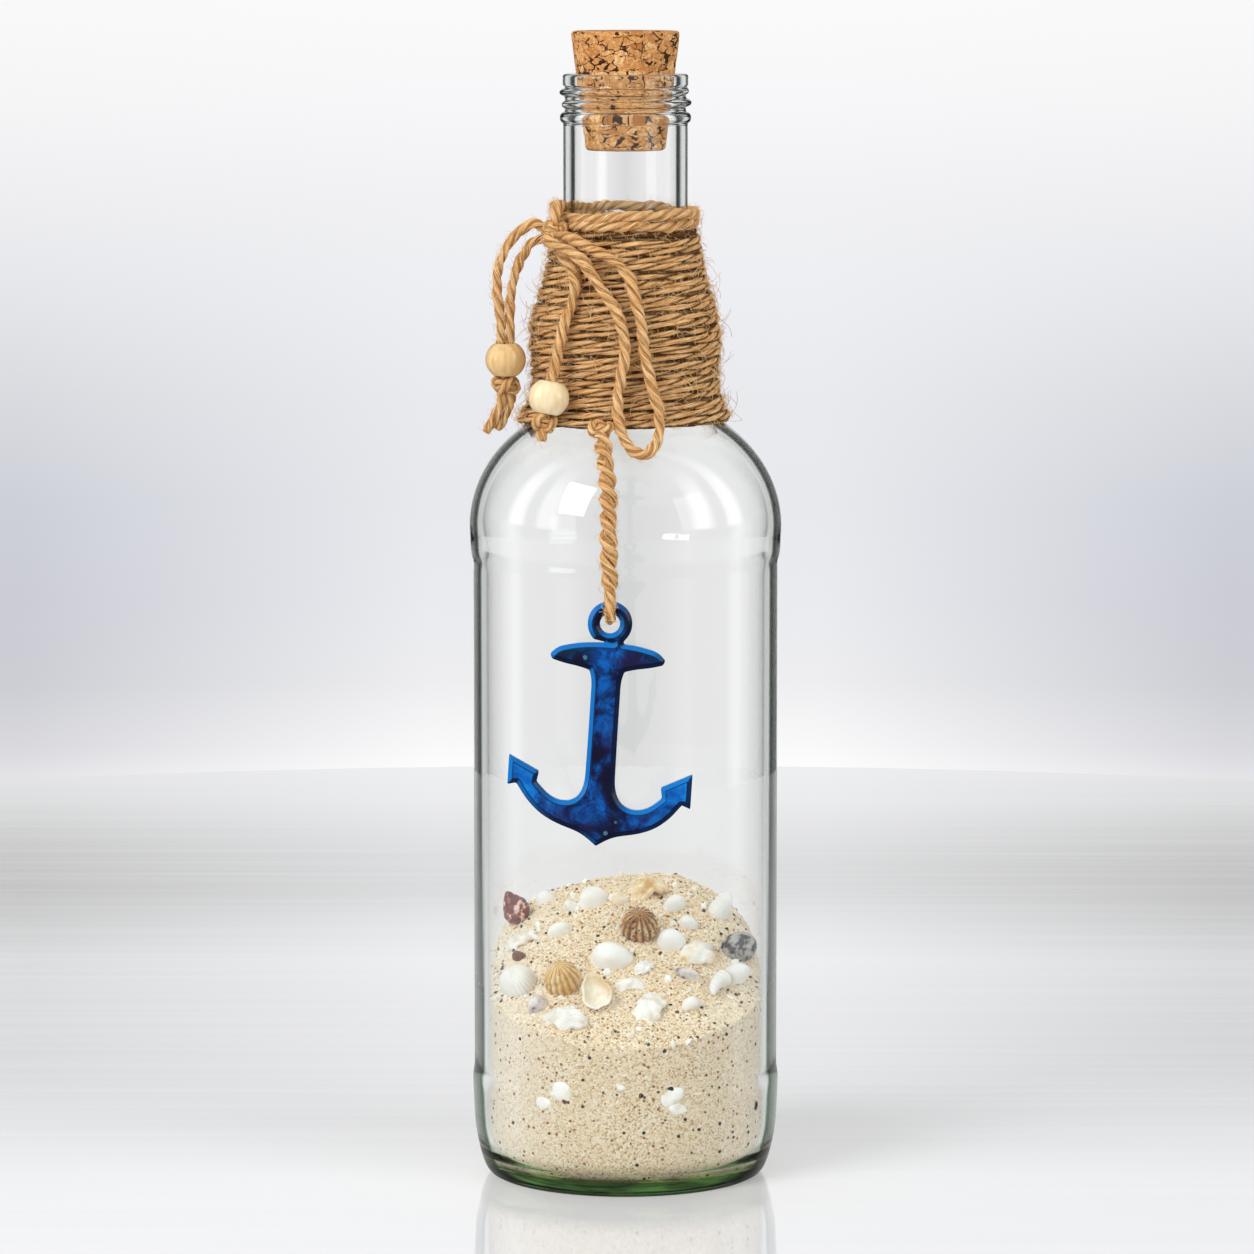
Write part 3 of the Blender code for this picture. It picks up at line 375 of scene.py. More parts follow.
def makeMottle():
    tree, given, out = newTree("softMottle", "ShaderNodeTree", {
        "Vector": "Vector", "Scale": "Float", "Low": "Float", "High": "Float"}, {"Mask": "Float"})
    cloud = noise(tree, given["Vector"], given["Scale"], 4.0)[0]
    tree.links.new(spread(tree, cloud, given["Low"], given["High"]), out["Mask"])
    return tree


def makeRelief():
    tree, given, out = newTree("fineRelief", "ShaderNodeTree", {
        "Vector": "Vector", "Scale": "Float", "Depth": "Float", "Strength": "Float"}, {"Normal": "Vector"})
    cloud = noise(tree, given["Vector"], given["Scale"], 5.0)[0]
    tree.links.new(bumped(tree, cloud, given["Depth"], given["Strength"]), out["Normal"])
    return tree


speckGroup, mottleGroup, reliefGroup = makeSpecks(), makeMottle(), makeRelief()


def useGroup(tree, group, place, *values):
    labels = [item.name for item in group.interface.items_tree if item.in_out == "INPUT"]
    return put(tree, "ShaderNodeGroup", dict(zip(labels, (place, *values))), node_tree=group).outputs[0]


def specks(tree, place, scale, share, size):
    return useGroup(tree, speckGroup, place, scale, share, size)


def mottle(tree, place, scale, low, high):
    return useGroup(tree, mottleGroup, place, scale, low, high)


def relief(tree, place, scale, depth, strength):
    return useGroup(tree, reliefGroup, place, scale, depth, strength)


def newFinish(name, roughness, specular=0.5, more=None):
    material = bpy.data.materials.new(name)
    material.use_nodes = True
    tree = material.node_tree
    shader = tree.nodes["Principled BSDF"]
    for key, value in {"Roughness": roughness, "Specular IOR Level": specular, **(more or {})}.items():
        shader.inputs[key].default_value = value
    return material, tree, shader, put(tree, "ShaderNodeTexCoord").outputs["Object"]


def paint(tree, shader, colour, normal=None):
    tree.links.new(colour, shader.inputs["Base Color"])
    if normal is not None:
        tree.links.new(normal, shader.inputs["Normal"])


# camera
cameraSettings = {"place": (0.0, -1.403, 0.2997), "tiltDegrees": 6.81, "lens": 169.35, "shift": 0.0012}


def placeCamera(settings):
    camera = addObject("photoCamera", bpy.data.cameras.new("photoCamera"))
    camera.data.lens = settings["lens"]
    camera.data.sensor_width = 36
    camera.data.shift_x = settings["shift"]
    camera.data.clip_start = 0.01
    camera.location = settings["place"]
    camera.rotation_euler = (math.radians(90 - settings["tiltDegrees"]), 0, 0)
    scene.camera = camera


placeCamera(cameraSettings)
print("camera placed")


# twine
twineColours = {
    "dark": (0.082, 0.030, 0.008), "mid": (0.73, 0.365, 0.128), "light": (1.0, 0.73, 0.39),
    "warm": (0.56, 0.245, 0.068),
}


def twineFinish(name, colours, shade=1.0):
    material, tree, shader, place = newFinish(name, 0.88, 0.06)
    lay = put(tree, "ShaderNodeUVMap", uv_map="strand").outputs[0]
    fibres = noise(tree, mapped(tree, lay, (2.4, 21.0, 1.0), (0, 0, 0.05)), 1.0, 4.0, {"Roughness": 0.62})[0]
    dark, mid, light, warm = (tuple(part * shade for part in colours[key])
                              for key in ("dark", "mid", "light", "warm"))
    body = ramp(tree, fibres, [(0.33, dark), (0.45, mid), (0.60, light)])
    body = mixColours(tree, product(tree, mottle(tree, place, 190.0, 0.36, 0.66), 0.45), body, warm)
    # painted shade in the grooves between the plies and between the rows of the winding
    body = mixColours(tree, spread(tree, mark(tree, "groove"), 0.30, 0.95, 0.0, 0.95), body, dark)
    paint(tree, shader, body, bumped(tree, fibres, 0.00045, 1.0))
    return material


def fibreFinish():
    material, tree, shader, place = newFinish("fibre", 0.8, 0.2)
    tone = mottle(tree, place, 400.0, 0.3, 0.7)
    paint(tree, shader, mixColours(tree, tone, (0.60, 0.33, 0.13), (0.98, 0.72, 0.41)))
    return material


twine, twineShaded = twineFinish("twine", twineColours), twineFinish("twineShaded", twineColours, 0.45)
fibre = fibreFinish()

strandSettings = {"lay": 0.0118, "ringsPerLay": 17, "sides": 15, "plies": 3, "groove": 0.36,
                  "unevenness": 0.11}
knotMiddle = np.array((-0.01656, -0.01275, 0.2269))
knotDegrees = 217.6
knotOutward = np.array((math.cos(math.radians(knotDegrees)), math.sin(math.radians(knotDegrees)), 0.0))
knotAlong = np.array((-knotOutward[1], knotOutward[0], 0.0))

stringRoutes = {
    "leftOuter": [
        (-0.0256, -0.0125, 0.2268), (-0.0283, -0.0125, 0.2231), (-0.0299, -0.0125, 0.2192),
        (-0.0303, -0.0125, 0.2145), (-0.0299, -0.0125, 0.2099), (-0.0294, -0.0125, 0.2063),
        (-0.0294, -0.0125, 0.2007), (-0.0293, -0.0125, 0.1950), (-0.0290, -0.0125, 0.1915),
        (-0.0292, -0.0125, 0.1880), (-0.0305, -0.0125, 0.1842), (-0.0330, -0.0125, 0.1799)],
    "leftInner": [
        (-0.0237, -0.0125, 0.2227), (-0.0253, -0.0125, 0.2196), (-0.0265, -0.0125, 0.2155),
        (-0.0272, -0.0125, 0.2112), (-0.0272, -0.0125, 0.2063), (-0.0272, -0.0125, 0.2007),
        (-0.0273, -0.0125, 0.1950), (-0.0274, -0.0123, 0.1915), (-0.0272, -0.0120, 0.1880),
        (-0.0282, -0.0118, 0.1842), (-0.0304, -0.0114, 0.1806)],
    "tail": [
        (-0.0125, -0.0171, 0.2191), (-0.0118, -0.0185, 0.2158), (-0.0123, -0.0194, 0.2121),
        (-0.0135, -0.0200, 0.2084), (-0.0150, -0.0206, 0.2036), (-0.0159, -0.0214, 0.1996),
        (-0.0172, -0.0219, 0.1931), (-0.0187, -0.0226, 0.1851), (-0.0193, -0.0229, 0.1815),
        (-0.0197, -0.0231, 0.1788)],
    "loop": [
        (-0.0100, -0.0183, 0.2246), (-0.0055, -0.0201, 0.2226), (-0.0015, -0.0212, 0.2202),
        (0.0011, -0.0223, 0.2163), (0.0023, -0.0235, 0.2117), (0.0037, -0.0249, 0.2060),
        (0.0046, -0.0253, 0.1989), (0.0061, -0.0253, 0.1922), (0.0077, -0.0259, 0.1864),
        (0.0079, -0.0278, 0.1812), (0.0062, -0.0310, 0.1775), (0.0034, -0.0323, 0.1765),
        (0.0008, -0.0310, 0.1780), (-0.0009, -0.0286, 0.1810), (-0.0018, -0.0271, 0.1849),
        (-0.0018, -0.0257, 0.1893), (-0.0009, -0.0255, 0.1946), (-0.0001, -0.0257, 0.2001),
        (-0.0008, -0.0252, 0.2052), (-0.0024, -0.0242, 0.2098), (-0.0056, -0.0227, 0.2145),
        (-0.0083, -0.0216, 0.2186), (-0.0114, -0.0206, 0.2222)],
    "pendant": [
        (-0.0056, -0.0289, 0.1805), (-0.0054, -0.0302, 0.1792), (-0.0049, -0.0329, 0.1764),
        (-0.0045, -0.0354, 0.1730), (-0.0042, -0.0376, 0.1689), (-0.0040, -0.0392, 0.1643),
        (-0.0039, -0.0401, 0.1589), (-0.0038, -0.0404, 0.1530), (-0.0037, -0.0404, 0.1485),
        (-0.0036, -0.0403, 0.1450), (-0.0036, -0.0402, 0.1416), (-0.0036, -0.0402, 0.1387)],
}
stringSettings = {
    "leftOuter": {"way": (-0.55, 0.71, 0.43), "radius": 0.00122, "seed": 11},
    "leftInner": {"way": (-0.57, 0.74, -0.34), "radius": 0.00118, "seed": 23},
    "tail": {"way": (0.50, 0.0, -0.87), "radius": 0.00135, "seed": 35},
    "loop": {"way": (0.93, -0.22, -0.20), "radius": 0.00138, "seed": 47, "back": (0.60, 0.75, -0.22)},
}


knotLead = {"core": 0.0024, "clear": 0.0009}  # how deep a string starts, and how far it runs straight out


def leaveKnot(way, radius):
    direction = knotAlong * way[0] + knotOutward * way[1] + np.array((0, 0, way[2]))
    direction /= np.linalg.norm(direction)
    start = knotMiddle + direction * knotLead["core"]
    return [start, start + direction * (knotLead["clear"] + 2 * radius)]


def makeString(name, settings):
    points = [*leaveKnot(settings["way"], settings["radius"]), *np.array(stringRoutes[name])]
    ends = ([0, 0.02, 0.975, 1], [0.8, 1, 1, 0.72])  # thinner where it starts and where it is cut
    if "back" in settings:
        points += leaveKnot(settings["back"], settings["radius"])[::-1]
        ends = None
    path = smoothPath(points, 0.0006)
    strand = strandMesh(path, settings["radius"], strandSettings, settings["seed"], ends)
    return path, joinStrands("string" + name[0].upper() + name[1:], [strand], twine)


strings = [makeString(name, settings) for name, settings in stringSettings.items()]
(leftOuterPath, leftOuterString), (leftInnerPath, leftInnerString) = strings[:2]
(tailPath, tailString), (loopPath, loopString) = strings[2:]

pendantSettings = {
    "radius": 0.00128, "offset": 0.00098, "bend": 0.00295, "bar": 0.14157, "lay": 0.0092, "parting": 0.0065,
    "straight": 0.0045, "width": 0.0021,
}


def makePendant(s):
    # two strands laid together, which part at the foot and pass through the anchor's eye as one loop
    path = smoothPath(stringRoutes["pendant"], 0.0003)
    far = distances(path)
    barPlace = np.interp(-s["bar"], -path[:, 2], far)
    centre = path[far <= barPlace]
    left = barPlace - far[far <= barPlace]  # what is left down to the eye
    reach = s["offset"] + (s["bend"] - s["offset"]) * np.clip(1 - left / s["parting"], 0, 1) ** 1.5
    ways = unitRows(np.gradient(centre, axis=0))
    sideways = unitRows(np.cross(ways, np.array((1.0, 0, 0))))
    turn = np.clip(left - s["straight"], 0, None) / s["lay"] * 2 * np.pi
    upward = np.cross(ways, sideways)
    offset = reach[:, None] * (np.cos(turn)[:, None] * sideways + np.sin(turn)[:, None] * upward)
    side = offset[-1] / np.linalg.norm(offset[-1])
    arc = [centre[-1] + s["bend"] * (side * math.cos(angle) + np.array((0, 0, -1.0)) * math.sin(angle))
           for angle in np.linspace(0, np.pi, 24)[1:-1]]
    whole = np.concatenate([centre + offset, arc, (centre - offset)[::-1]])
    return path, joinStrands("pendantCord", [strandMesh(whole, s["radius"], strandSettings, 59)], twine)


pendantPath, pendantCord = makePendant(pendantSettings)
print("strings laid")


# outline of the glass, with the same lengths as the solid
glassSizes = {
    "panel": 0.0364, "band": 0.0368, "base": 0.0318, "heelWidth": 0.0050, "heelHeight": 0.0225,
    "bandTop": 0.0240, "panelFoot": 0.0262, "seam": 0.1494, "seamRadius": 0.0370, "seamRise": 0.0006,
    "shoulder": 0.0373, "shoulderCentre": 0.1568, "shoulderRise": 0.0316, "shoulderTop": 52.5,
    "rootRadius": 0.0190, "rootHeight": 0.1889, "neck": 0.0148, "neckFoot": 0.2168, "rim": 0.2642,
    "wall": 0.0035, "floor": 0.0036, "bore": 0.0121, "finish": 0.0144, "rimRadius": 0.0149, "rimBand": 0.0030,
    "soft": 0.0007, "ringDrop": 0.0104, "ringProud": 0.0008, "ringHalf": 0.0013, "threadDrop": 0.0042,
    "threadPitch": 0.0029, "threadTurns": 1.56, "threadStart": -100, "threadHalf": 0.0009,
    "threadDepth": 0.0013, "sides": 160, "innerHeel": (0.0042, 0.0102),
    "heel": ((0.0, 0.0), (0.22, 0.022), (0.42, 0.09), (0.62, 0.22), (0.76, 0.36), (0.90, 0.56), (1.0, 1.0)),
}


def bodyOutline(s):
    heel = smoothPath([(s["base"] + s["heelWidth"] * out, 0.0, s["heelHeight"] * up)
                       for out, up in s["heel"]], 0.0005)
    dome = ellipse(0, s["shoulderCentre"], s["shoulder"], s["shoulderRise"], 0, s["shoulderTop"], 50)
    before, crown = dome[-2:]
    lead = (s["rootHeight"] - crown[1]) * 0.28
    control = np.array((crown[0] + (crown[0] - before[0]) / (crown[1] - before[1]) * lead, crown[1] + lead))
    root = np.array((s["rootRadius"], s["rootHeight"]))
    t = np.linspace(0, 1, 12)[1:-1, None]
    cove = (1 - t) ** 2 * crown + 2 * t * (1 - t) * control + t * t * root
    mid = [(s["band"], s["bandTop"]), (s["panel"], s["panelFoot"]), (s["panel"], s["seam"] - s["seamRise"]),
           (s["seamRadius"], s["seam"] + s["seamRise"])]
    return np.concatenate([heel[:, (0, 2)], mid, dome, cove, [root, (s["neck"], s["neckFoot"])]])


def glassRadius(height):
    outline = bodyOutline(glassSizes)
    upper = outline[outline[:, 1] >= glassSizes["panelFoot"]]
    return np.interp(height, upper[:, 1], upper[:, 0])


# winding, its inner layers and the tie over its head
wrapSettings = {
    "foot": 0.1818, "head": 0.2256, "loops": 23, "radius": 0.00102, "startDegrees": 90, "build": 0.0060,
    "buildShares": ((0.0, 0.60), (0.05, 0.70), (0.15, 0.63), (0.25, 0.65), (0.34, 0.81), (0.43, 0.97),
                    (0.52, 1.0), (0.61, 0.98), (0.70, 0.87), (0.79, 0.76), (0.89, 0.64), (1.0, 0.50)),
    "strand": {"lay": 0.0270, "ringsPerLay": 30, "sides": 12, "plies": 3, "groove": 0.27, "unevenness": 0.15},
    "sag": 0.00050, "swell": 0.00042, "topLoops": 1.1, "topRise": 0.0021, "topDrop": 0.0009, "proud": 0.00012,
    "coreDepth": 0.00165, "coreRow": 0.00035, "coreGap": 0.0003, "coreSides": 144,
}
tieSettings = {"radius": 0.0166, "level": 0.2283, "rise": 0.0023, "strand": 0.00132}


def wrapRadius(height):
    share = (height - wrapSettings["foot"]) / (wrapSettings["head"] - wrapSettings["foot"])
    places, builds = zip(*wrapSettings["buildShares"])
    return glassRadius(height) + wrapSettings["build"] * np.interp(share, places, builds)


def makeWinding(s):
    turn = np.linspace(0, s["loops"] + s["topLoops"], int((s["loops"] + s["topLoops"]) * 120))
    share = turn / s["loops"]
    height = s["foot"] + (s["head"] - s["foot"]) * np.minimum(share, 1)
    height += s["topRise"] * np.clip(turn - s["loops"], 0, None) + s["sag"] * waver(turn, 3, 0.55, 7)
    radius = wrapRadius(height) - s["radius"] + s["proud"] + s["swell"] * waver(turn, 4, 0.8, 7)
    radius -= s["topDrop"] * np.clip(turn - s["loops"], 0, 1)
    path = spun(radius, height, np.radians(s["startDegrees"]) + 2 * np.pi * turn)
    points, faces, uv, groove = strandMesh(path, s["radius"], s["strand"], 71)
    buried = (wrapRadius(points[:, 2]) - np.hypot(points[:, 0], points[:, 1])) / (2 * s["radius"])
    groove = np.maximum(groove, np.clip((buried - 0.09) / 0.15, 0, 1))  # painted shade between the rows
    return joinStrands("neckWinding", [(points, faces, uv, groove)], twine)


def makeWrapCore(s):
    # the inner layers, seen only as rows between the outer ones, in a darker copy of the twine as painted
    # shade
    heights = np.linspace(s["foot"] + 0.0002, s["head"] - 0.0004, s["loops"] * 6)
    rows = s["coreRow"] * np.abs(np.sin(np.pi * (heights - s["foot"]) / (s["head"] - s["foot"]) * s["loops"]))
    outside = np.stack([wrapRadius(heights) - s["coreDepth"] + rows, heights], -1)
    inside = np.stack([glassRadius(heights) + s["coreGap"], heights], -1)[::-1]
    ring, sides = np.concatenate([outside, inside]), s["coreSides"]
    points = spun(ring[:, :1], ring[:, 1:], around(sides)).reshape(-1, 3)
    uv = np.concatenate([gridUv(len(ring), sides, np.arange(len(ring)) * 0.05, 30.0),
                         np.zeros((4 * sides, 2))])
    return makePiece("wrapCore", points, ringFaces(len(ring), sides), twineShaded, uv,
                     {"groove": np.full(len(points), 0.3)})


def makeTie(s):
    points = []
    for step in range(48):
        angle = math.radians(knotDegrees + 15 * step)
        drift = 0.0003 * math.sin(step * 0.7) + 0.0002 * math.sin(step * 1.9)
        radius = s["radius"] + 0.0003 * math.sin(step * 0.45 + 1)
        points.append((radius * math.cos(angle), radius * math.sin(angle),
                       s["level"] + s["rise"] * step / 24 + drift))
    points += [tuple(np.array(points[-1]) * 0.5 + (knotMiddle + (0, 0, 0.0048)) * 0.5 + (0, 0, 0.0008)),
               tuple(knotMiddle + (0, 0, 0.0042)), tuple(knotMiddle + (0, 0, 0.0020))]
    return joinStrands("neckTie", [strandMesh(smoothPath(points, 0.0005), s["strand"], strandSettings, 83)],
                       twine)


def knotStrand(place, halfSizes, upright, strandRadius, seed, tilt):
    # an overhand knot drawn tight: a trefoil squeezed to the given half sizes
    t = np.linspace(0, 2 * np.pi, 220)
    knot = np.stack([np.sin(t) + 2 * np.sin(2 * t), np.cos(t) - 2 * np.cos(2 * t), -np.sin(3 * t)], -1)
    knot /= np.abs(knot).max(0)
    knot *= np.array(halfSizes) - strandRadius
    standing = Vector((0, 0, 1)).rotation_difference(Vector(upright)).to_matrix()
    turn = np.array(standing @ Matrix.Rotation(tilt, 3, "Z"))
    return strandMesh(knot @ turn.T + np.array(place), strandRadius,
                      dict(strandSettings, ringsPerLay=10, lay=0.0070), seed)


winding, wrapCore, tie = makeWinding(wrapSettings), makeWrapCore(wrapSettings), makeTie(tieSettings)
tailUpright = (0.189, 0.081, 0.9786)
knotSettings = {  # middle, half sizes, upright, radius of the strand, seed, turn
    "bowKnot": (knotMiddle, (0.0036, 0.0036, 0.0036), knotOutward, 0.00140, 91, 0.5),
    "leftStopperKnot": ((-0.0283, -0.0125, 0.1912), (0.0037, 0.0030, 0.0024), (0, 0, 1), 0.00115, 101, 0.0),
    "tailStopperKnot": ((-0.01882, -0.02265, 0.18305), (0.0036, 0.0030, 0.0024), tailUpright,
                        0.00115, 107, 1.0),
    "pendantHitch": ((-0.00575, -0.0277, 0.1819), (0.0034, 0.0024, 0.0024), (0.12, -0.83, -0.54),
                     0.00105, 113, 0.2),
}
bowKnot, leftStopper, tailStopper, hitch = (
    joinStrands(name, [knotStrand(*values)], twine) for name, values in knotSettings.items())
print("twine wound and knotted")


# growing small things on a surface
def newGrowth(name, inputs):
    return newTree(name, "GeometryNodeTree", {
        "Geometry": "Geometry", "Density": "Float", **inputs, "Seed": "Int", "Finish": "Material"},
        {"Geometry": "Geometry"})


def above(tree, value, limit):
    return put(tree, "FunctionNodeCompare", {0: value, 1: limit}, data_type="FLOAT",
               operation="GREATER_THAN").outputs[0]


def scatter(tree, given, chosen):
    return put(tree, "GeometryNodeDistributePointsOnFaces", {
        "Mesh": given["Geometry"], "Density": given["Density"], "Seed": given["Seed"],
        "Selection": chosen}).outputs


def chance(tree, kind, low, high, pair, answer):
    # a random value between two limits, on the sockets of its kind
    return put(tree, "FunctionNodeRandomValue", {pair[0]: low, pair[1]: high}, data_type=kind).outputs[answer]


def toRotation(tree, angles):
    return put(tree, "FunctionNodeEulerToRotation", {0: angles}).outputs[0]


def finishGrowth(tree, given, out, instances):
    real = put(tree, "GeometryNodeRealizeInstances", {"Geometry": instances.outputs[0]})
    painted = put(tree, "GeometryNodeSetMaterial", {"Geometry": real.outputs[0], "Material": given["Finish"]})
    tree.links.new(painted.outputs[0], out[0])
    return tree


def grow(name, source, tree, inputs):
    # runs the tree on a copy of the source and keeps the result as a plain mesh
    carrier = addObject(name + "Carrier", source.data.copy())
    step = carrier.modifiers.new("grow", "NODES")
    step.node_group = tree
    sockets = {item.name: item.identifier for item in tree.interface.items_tree if item.in_out == "INPUT"}
    for label, value in inputs.items():
        step[sockets[label]] = value
    mesh = bakeOut(carrier)
    mesh.name = name
    print(name, "has", len(mesh.polygons), "faces")
    return addObject(name, mesh)


# loose fibres on the twine
hairShapes = ((1.0, 1.0, 0.22, 0.10), (0.5, 1.3, -0.34, 0.25), (1.3, 0.6, 0.45, -0.30),
              (0.8, 0.9, -0.12, -0.42))


def fuzzNodes():
    # thin hairs that leave the strand, bow and end at a height of their own
    tree, given, out = newGrowth("juteFuzz", {
        "Shortest": "Float", "Longest": "Float", "Bow": "Float", "Rise": "Float", "Thickness": "Float",
        "Steps": "Int"})
    spot = put(tree, "GeometryNodeInputPosition").outputs[0]
    flat = put(tree, "ShaderNodeVectorMath", {0: spot, 1: (1, 1, 0)}, operation="MULTIPLY").outputs[0]
    outward = put(tree, "ShaderNodeVectorMath", {0: flat}, operation="NORMALIZE").outputs[0]
    normal = put(tree, "GeometryNodeInputNormal").outputs[0]
    facing = put(tree, "ShaderNodeVectorMath", {0: outward, 1: normal},
                 operation="DOT_PRODUCT").outputs["Value"]
    roots = scatter(tree, given, above(tree, facing, 0.15))
    shapes = put(tree, "GeometryNodeJoinGeometry")
    profile = put(tree, "GeometryNodeCurvePrimitiveCircle",
                  {"Resolution": 3, "Radius": given["Thickness"]}).outputs[0]
    for bowShare, riseShare, swing, end in hairShapes:
        bow, rise = product(tree, given["Bow"], bowShare), product(tree, given["Rise"], riseShare)
        shape = (0.30, swing, bow), (0.62, -swing, bow), (0.95, end, rise)
        first, second, tip = (put(tree, "ShaderNodeCombineXYZ", dict(enumerate(parts))).outputs[0]
                              for parts in shape)
        bend = put(tree, "GeometryNodeCurvePrimitiveBezierSegment", {
            "Resolution": given["Steps"], "Start": (0, 0, -0.02), "Start Handle": first, "End Handle": second,
            "End": tip})
        solid = put(tree, "GeometryNodeCurveToMesh", {"Curve": bend.outputs[0], "Profile Curve": profile})
        single = put(tree, "GeometryNodeGeometryToInstance", {"Geometry": solid.outputs[0]})
        tree.links.new(single.outputs[0], shapes.inputs[0])
    size = chance(tree, "FLOAT", given["Shortest"], given["Longest"], (2, 3), 1)
    lean = toRotation(tree, chance(tree, "FLOAT_VECTOR", (-0.15, -0.15, 0.0), (0.15, 0.15, 6.283), (0, 1), 0))
    turn = put(tree, "FunctionNodeRotateRotation", {0: roots["Rotation"], 1: lean},
               rotation_space="LOCAL").outputs[0]
    return finishGrowth(tree, given, out, put(tree, "GeometryNodeInstanceOnPoints", {
        "Points": roots["Points"], "Instance": shapes.outputs[0], "Pick Instance": True,
        "Instance Index": chance(tree, "INT", 0, 3, (4, 5), 2), "Rotation": turn, "Scale": size}))


shortHairs = {"Shortest": 0.0006, "Longest": 0.0020, "Bow": 0.36, "Rise": 0.42, "Thickness": 0.024,
              "Steps": 5}
strayHairs = {"Shortest": 0.0024, "Longest": 0.0062, "Bow": 0.10, "Rise": -0.20, "Thickness": 0.0115,
              "Steps": 10}
fuzzSettings = {  # what the fibres grow on, its body, their kind and how many to a square metre
    "neckFuzz": (winding, "bottle_body", shortHairs, 700000.0),
    "neckStrays": (winding, "bottle_body", strayHairs, 140000.0),
    "tieFuzz": (tie, "bottle_body", shortHairs, 900000.0),
    "loopFuzz": (loopString, "bow", shortHairs, 900000.0),
    "tailFuzz": (tailString, "tail_tassel", shortHairs, 1100000.0),
    "leftFuzz": (leftOuterString, "left_tassel", shortHairs, 1200000.0),
    "leftInnerFuzz": (leftInnerString, "left_tassel", shortHairs, 1000000.0),
    "pendantFuzz": (pendantCord, "pendant", shortHairs, 1300000.0),
}
fuzzTree = fuzzNodes()
fuzz = [(grow(name, source, fuzzTree, {**hairs, "Density": density, "Seed": seed, "Finish": fibre}), body,
         "twine")
        for seed, (name, (source, body, hairs, density)) in enumerate(fuzzSettings.items(), 1)]
print("fibres grown")


# glass
glassLook = {  # the bands are painted edge shade, the tones of the wall from face on, 0, to edge on, 1
    "ior": 1.46, "edgeTone": (0.93, 1.0, 0.95), "footTone": (0.72, 1.0, 0.70), "rightShade": 0.40,
    "bodyEdgeShade": [(0.60, 1.0), (0.625, 0.80), (0.643, 0.60), (0.661, 0.80), (0.676, 0.40), (0.690, 0.05),
                 (0.715, 0.01), (0.748, 0.02), (0.774, 0.06), (0.805, 0.15), (0.84, 0.32), (0.887, 0.60),
                 (1.0, 0.85)],
    "footEdgeShade": [(0.60, 1.0), (0.63, 0.95), (0.645, 0.45), (0.660, 0.06), (0.69, 0.03), (0.74, 0.07),
                 (0.80, 0.11), (0.85, 0.20), (0.90, 0.30), (1.0, 0.50)],
    "neckEdgeShade": [(0.40, 1.0), (0.43, 0.65), (0.455, 0.15), (0.48, 0.04), (0.505, 0.08), (0.54, 0.45),
                 (0.60, 0.90), (0.68, 0.90), (0.72, 0.18), (0.77, 0.05), (0.84, 0.10), (0.92, 0.40),
                 (1.0, 0.70)],
    "footLevels": (0.085, 0.045), "neckLevels": (0.205, 0.212), "heelLevels": (0.050, 0.015),
    "baseLevels": (0.0085, 0.0045), "base": (0.016, 0.030, 0.008), "basePale": (0.13, 0.30, 0.075),
    "absorb": (0.50, 0.82, 0.60), "density": 5.0, "shadow": (0.96, 0.975, 0.965),
}


def glassFinish(look):
    material, tree, shader, place = newFinish("glass", 0.0, 0.5,
                                              {"Transmission Weight": 1.0, "IOR": look["ior"]})
    facing = put(tree, "ShaderNodeLayerWeight", {"Blend": 0.5}).outputs["Facing"]
    outside = mark(tree, "outside")
    across, _, level = axes(tree, place)
    foot, neck, heel, base = (spread(tree, level, *look[key + "Levels"])
                              for key in ("foot", "neck", "heel", "base"))
    # painted edge shade: the wall darkened in bands towards its edges, and more on its right side; the green
    # tint of the glass is mixed in
    band = ramp(tree, facing, look["bodyEdgeShade"])
    shaded = product(tree, band, spread(tree, across, 0.0, 0.02, 1.0, look["rightShade"]))
    band = mixColours(tree, spread(tree, facing, 0.70, 0.80), band, shaded)
    band = mixColours(tree, foot, band, ramp(tree, facing, look["footEdgeShade"]))
    band = mixColours(tree, neck, band, ramp(tree, facing, look["neckEdgeShade"]))
    green = mixColours(tree, heel, look["edgeTone"], look["footTone"])
    tinted = mixColours(tree, 1.0, band, green, "MULTIPLY")
    band = mixColours(tree, spread(tree, band, 1.0, 0.7), band, tinted)
    tintAndShade = mixColours(tree, outside, (1.0, 1.0, 1.0), band)
    patch = noise(tree, mapped(tree, place, (75.0, 75.0, 520.0)), 1.0, 1.5, {"Distortion": 0.7})[0]
    green = ramp(tree, patch, [(0.46, look["base"]), (0.66, look["basePale"])])
    tintAndShade = mixColours(tree, product(tree, base, outside), tintAndShade, green, "MULTIPLY")
    paint(tree, shader, tintAndShade, relief(tree, place, 55.0, 0.0002, 0.10))
    clear = put(tree, "ShaderNodeBsdfTransparent", {"Color": (*look["shadow"], 1.0)})
    path = put(tree, "ShaderNodeLightPath").outputs
    easy = calculate(tree, "MAXIMUM", path["Is Shadow Ray"], path["Is Diffuse Ray"])
    blend = put(tree, "ShaderNodeMixShader", {0: easy, 1: shader.outputs[0], 2: clear.outputs[0]})
    soak = put(tree, "ShaderNodeVolumeAbsorption",
               {"Color": (*look["absorb"], 1.0), "Density": look["density"]})
    for key, source in (("Surface", blend), ("Volume", soak)):
        tree.links.new(source.outputs[0], tree.nodes["Material Output"].inputs[key])
    return material


def finishOutside(s):
    # neck, ring and rim, without the thread
    ring = s["rim"] - s["ringDrop"]
    heights = np.linspace(s["neckFoot"] + 0.0002, s["rim"] - s["soft"], 200)
    radius = np.full_like(heights, s["neck"])
    radius[heights > ring] = s["finish"]
    radius[heights > s["rim"] - s["rimBand"]] = s["rimRadius"]
    lift = np.clip(1 - ((heights - ring) / s["ringHalf"]) ** 2, 0, None) ** 0.5
    radius = np.maximum(radius, s["neck"] + s["ringProud"] * lift * (lift > 0) - (lift <= 0))
    return np.stack([radius, heights], -1)


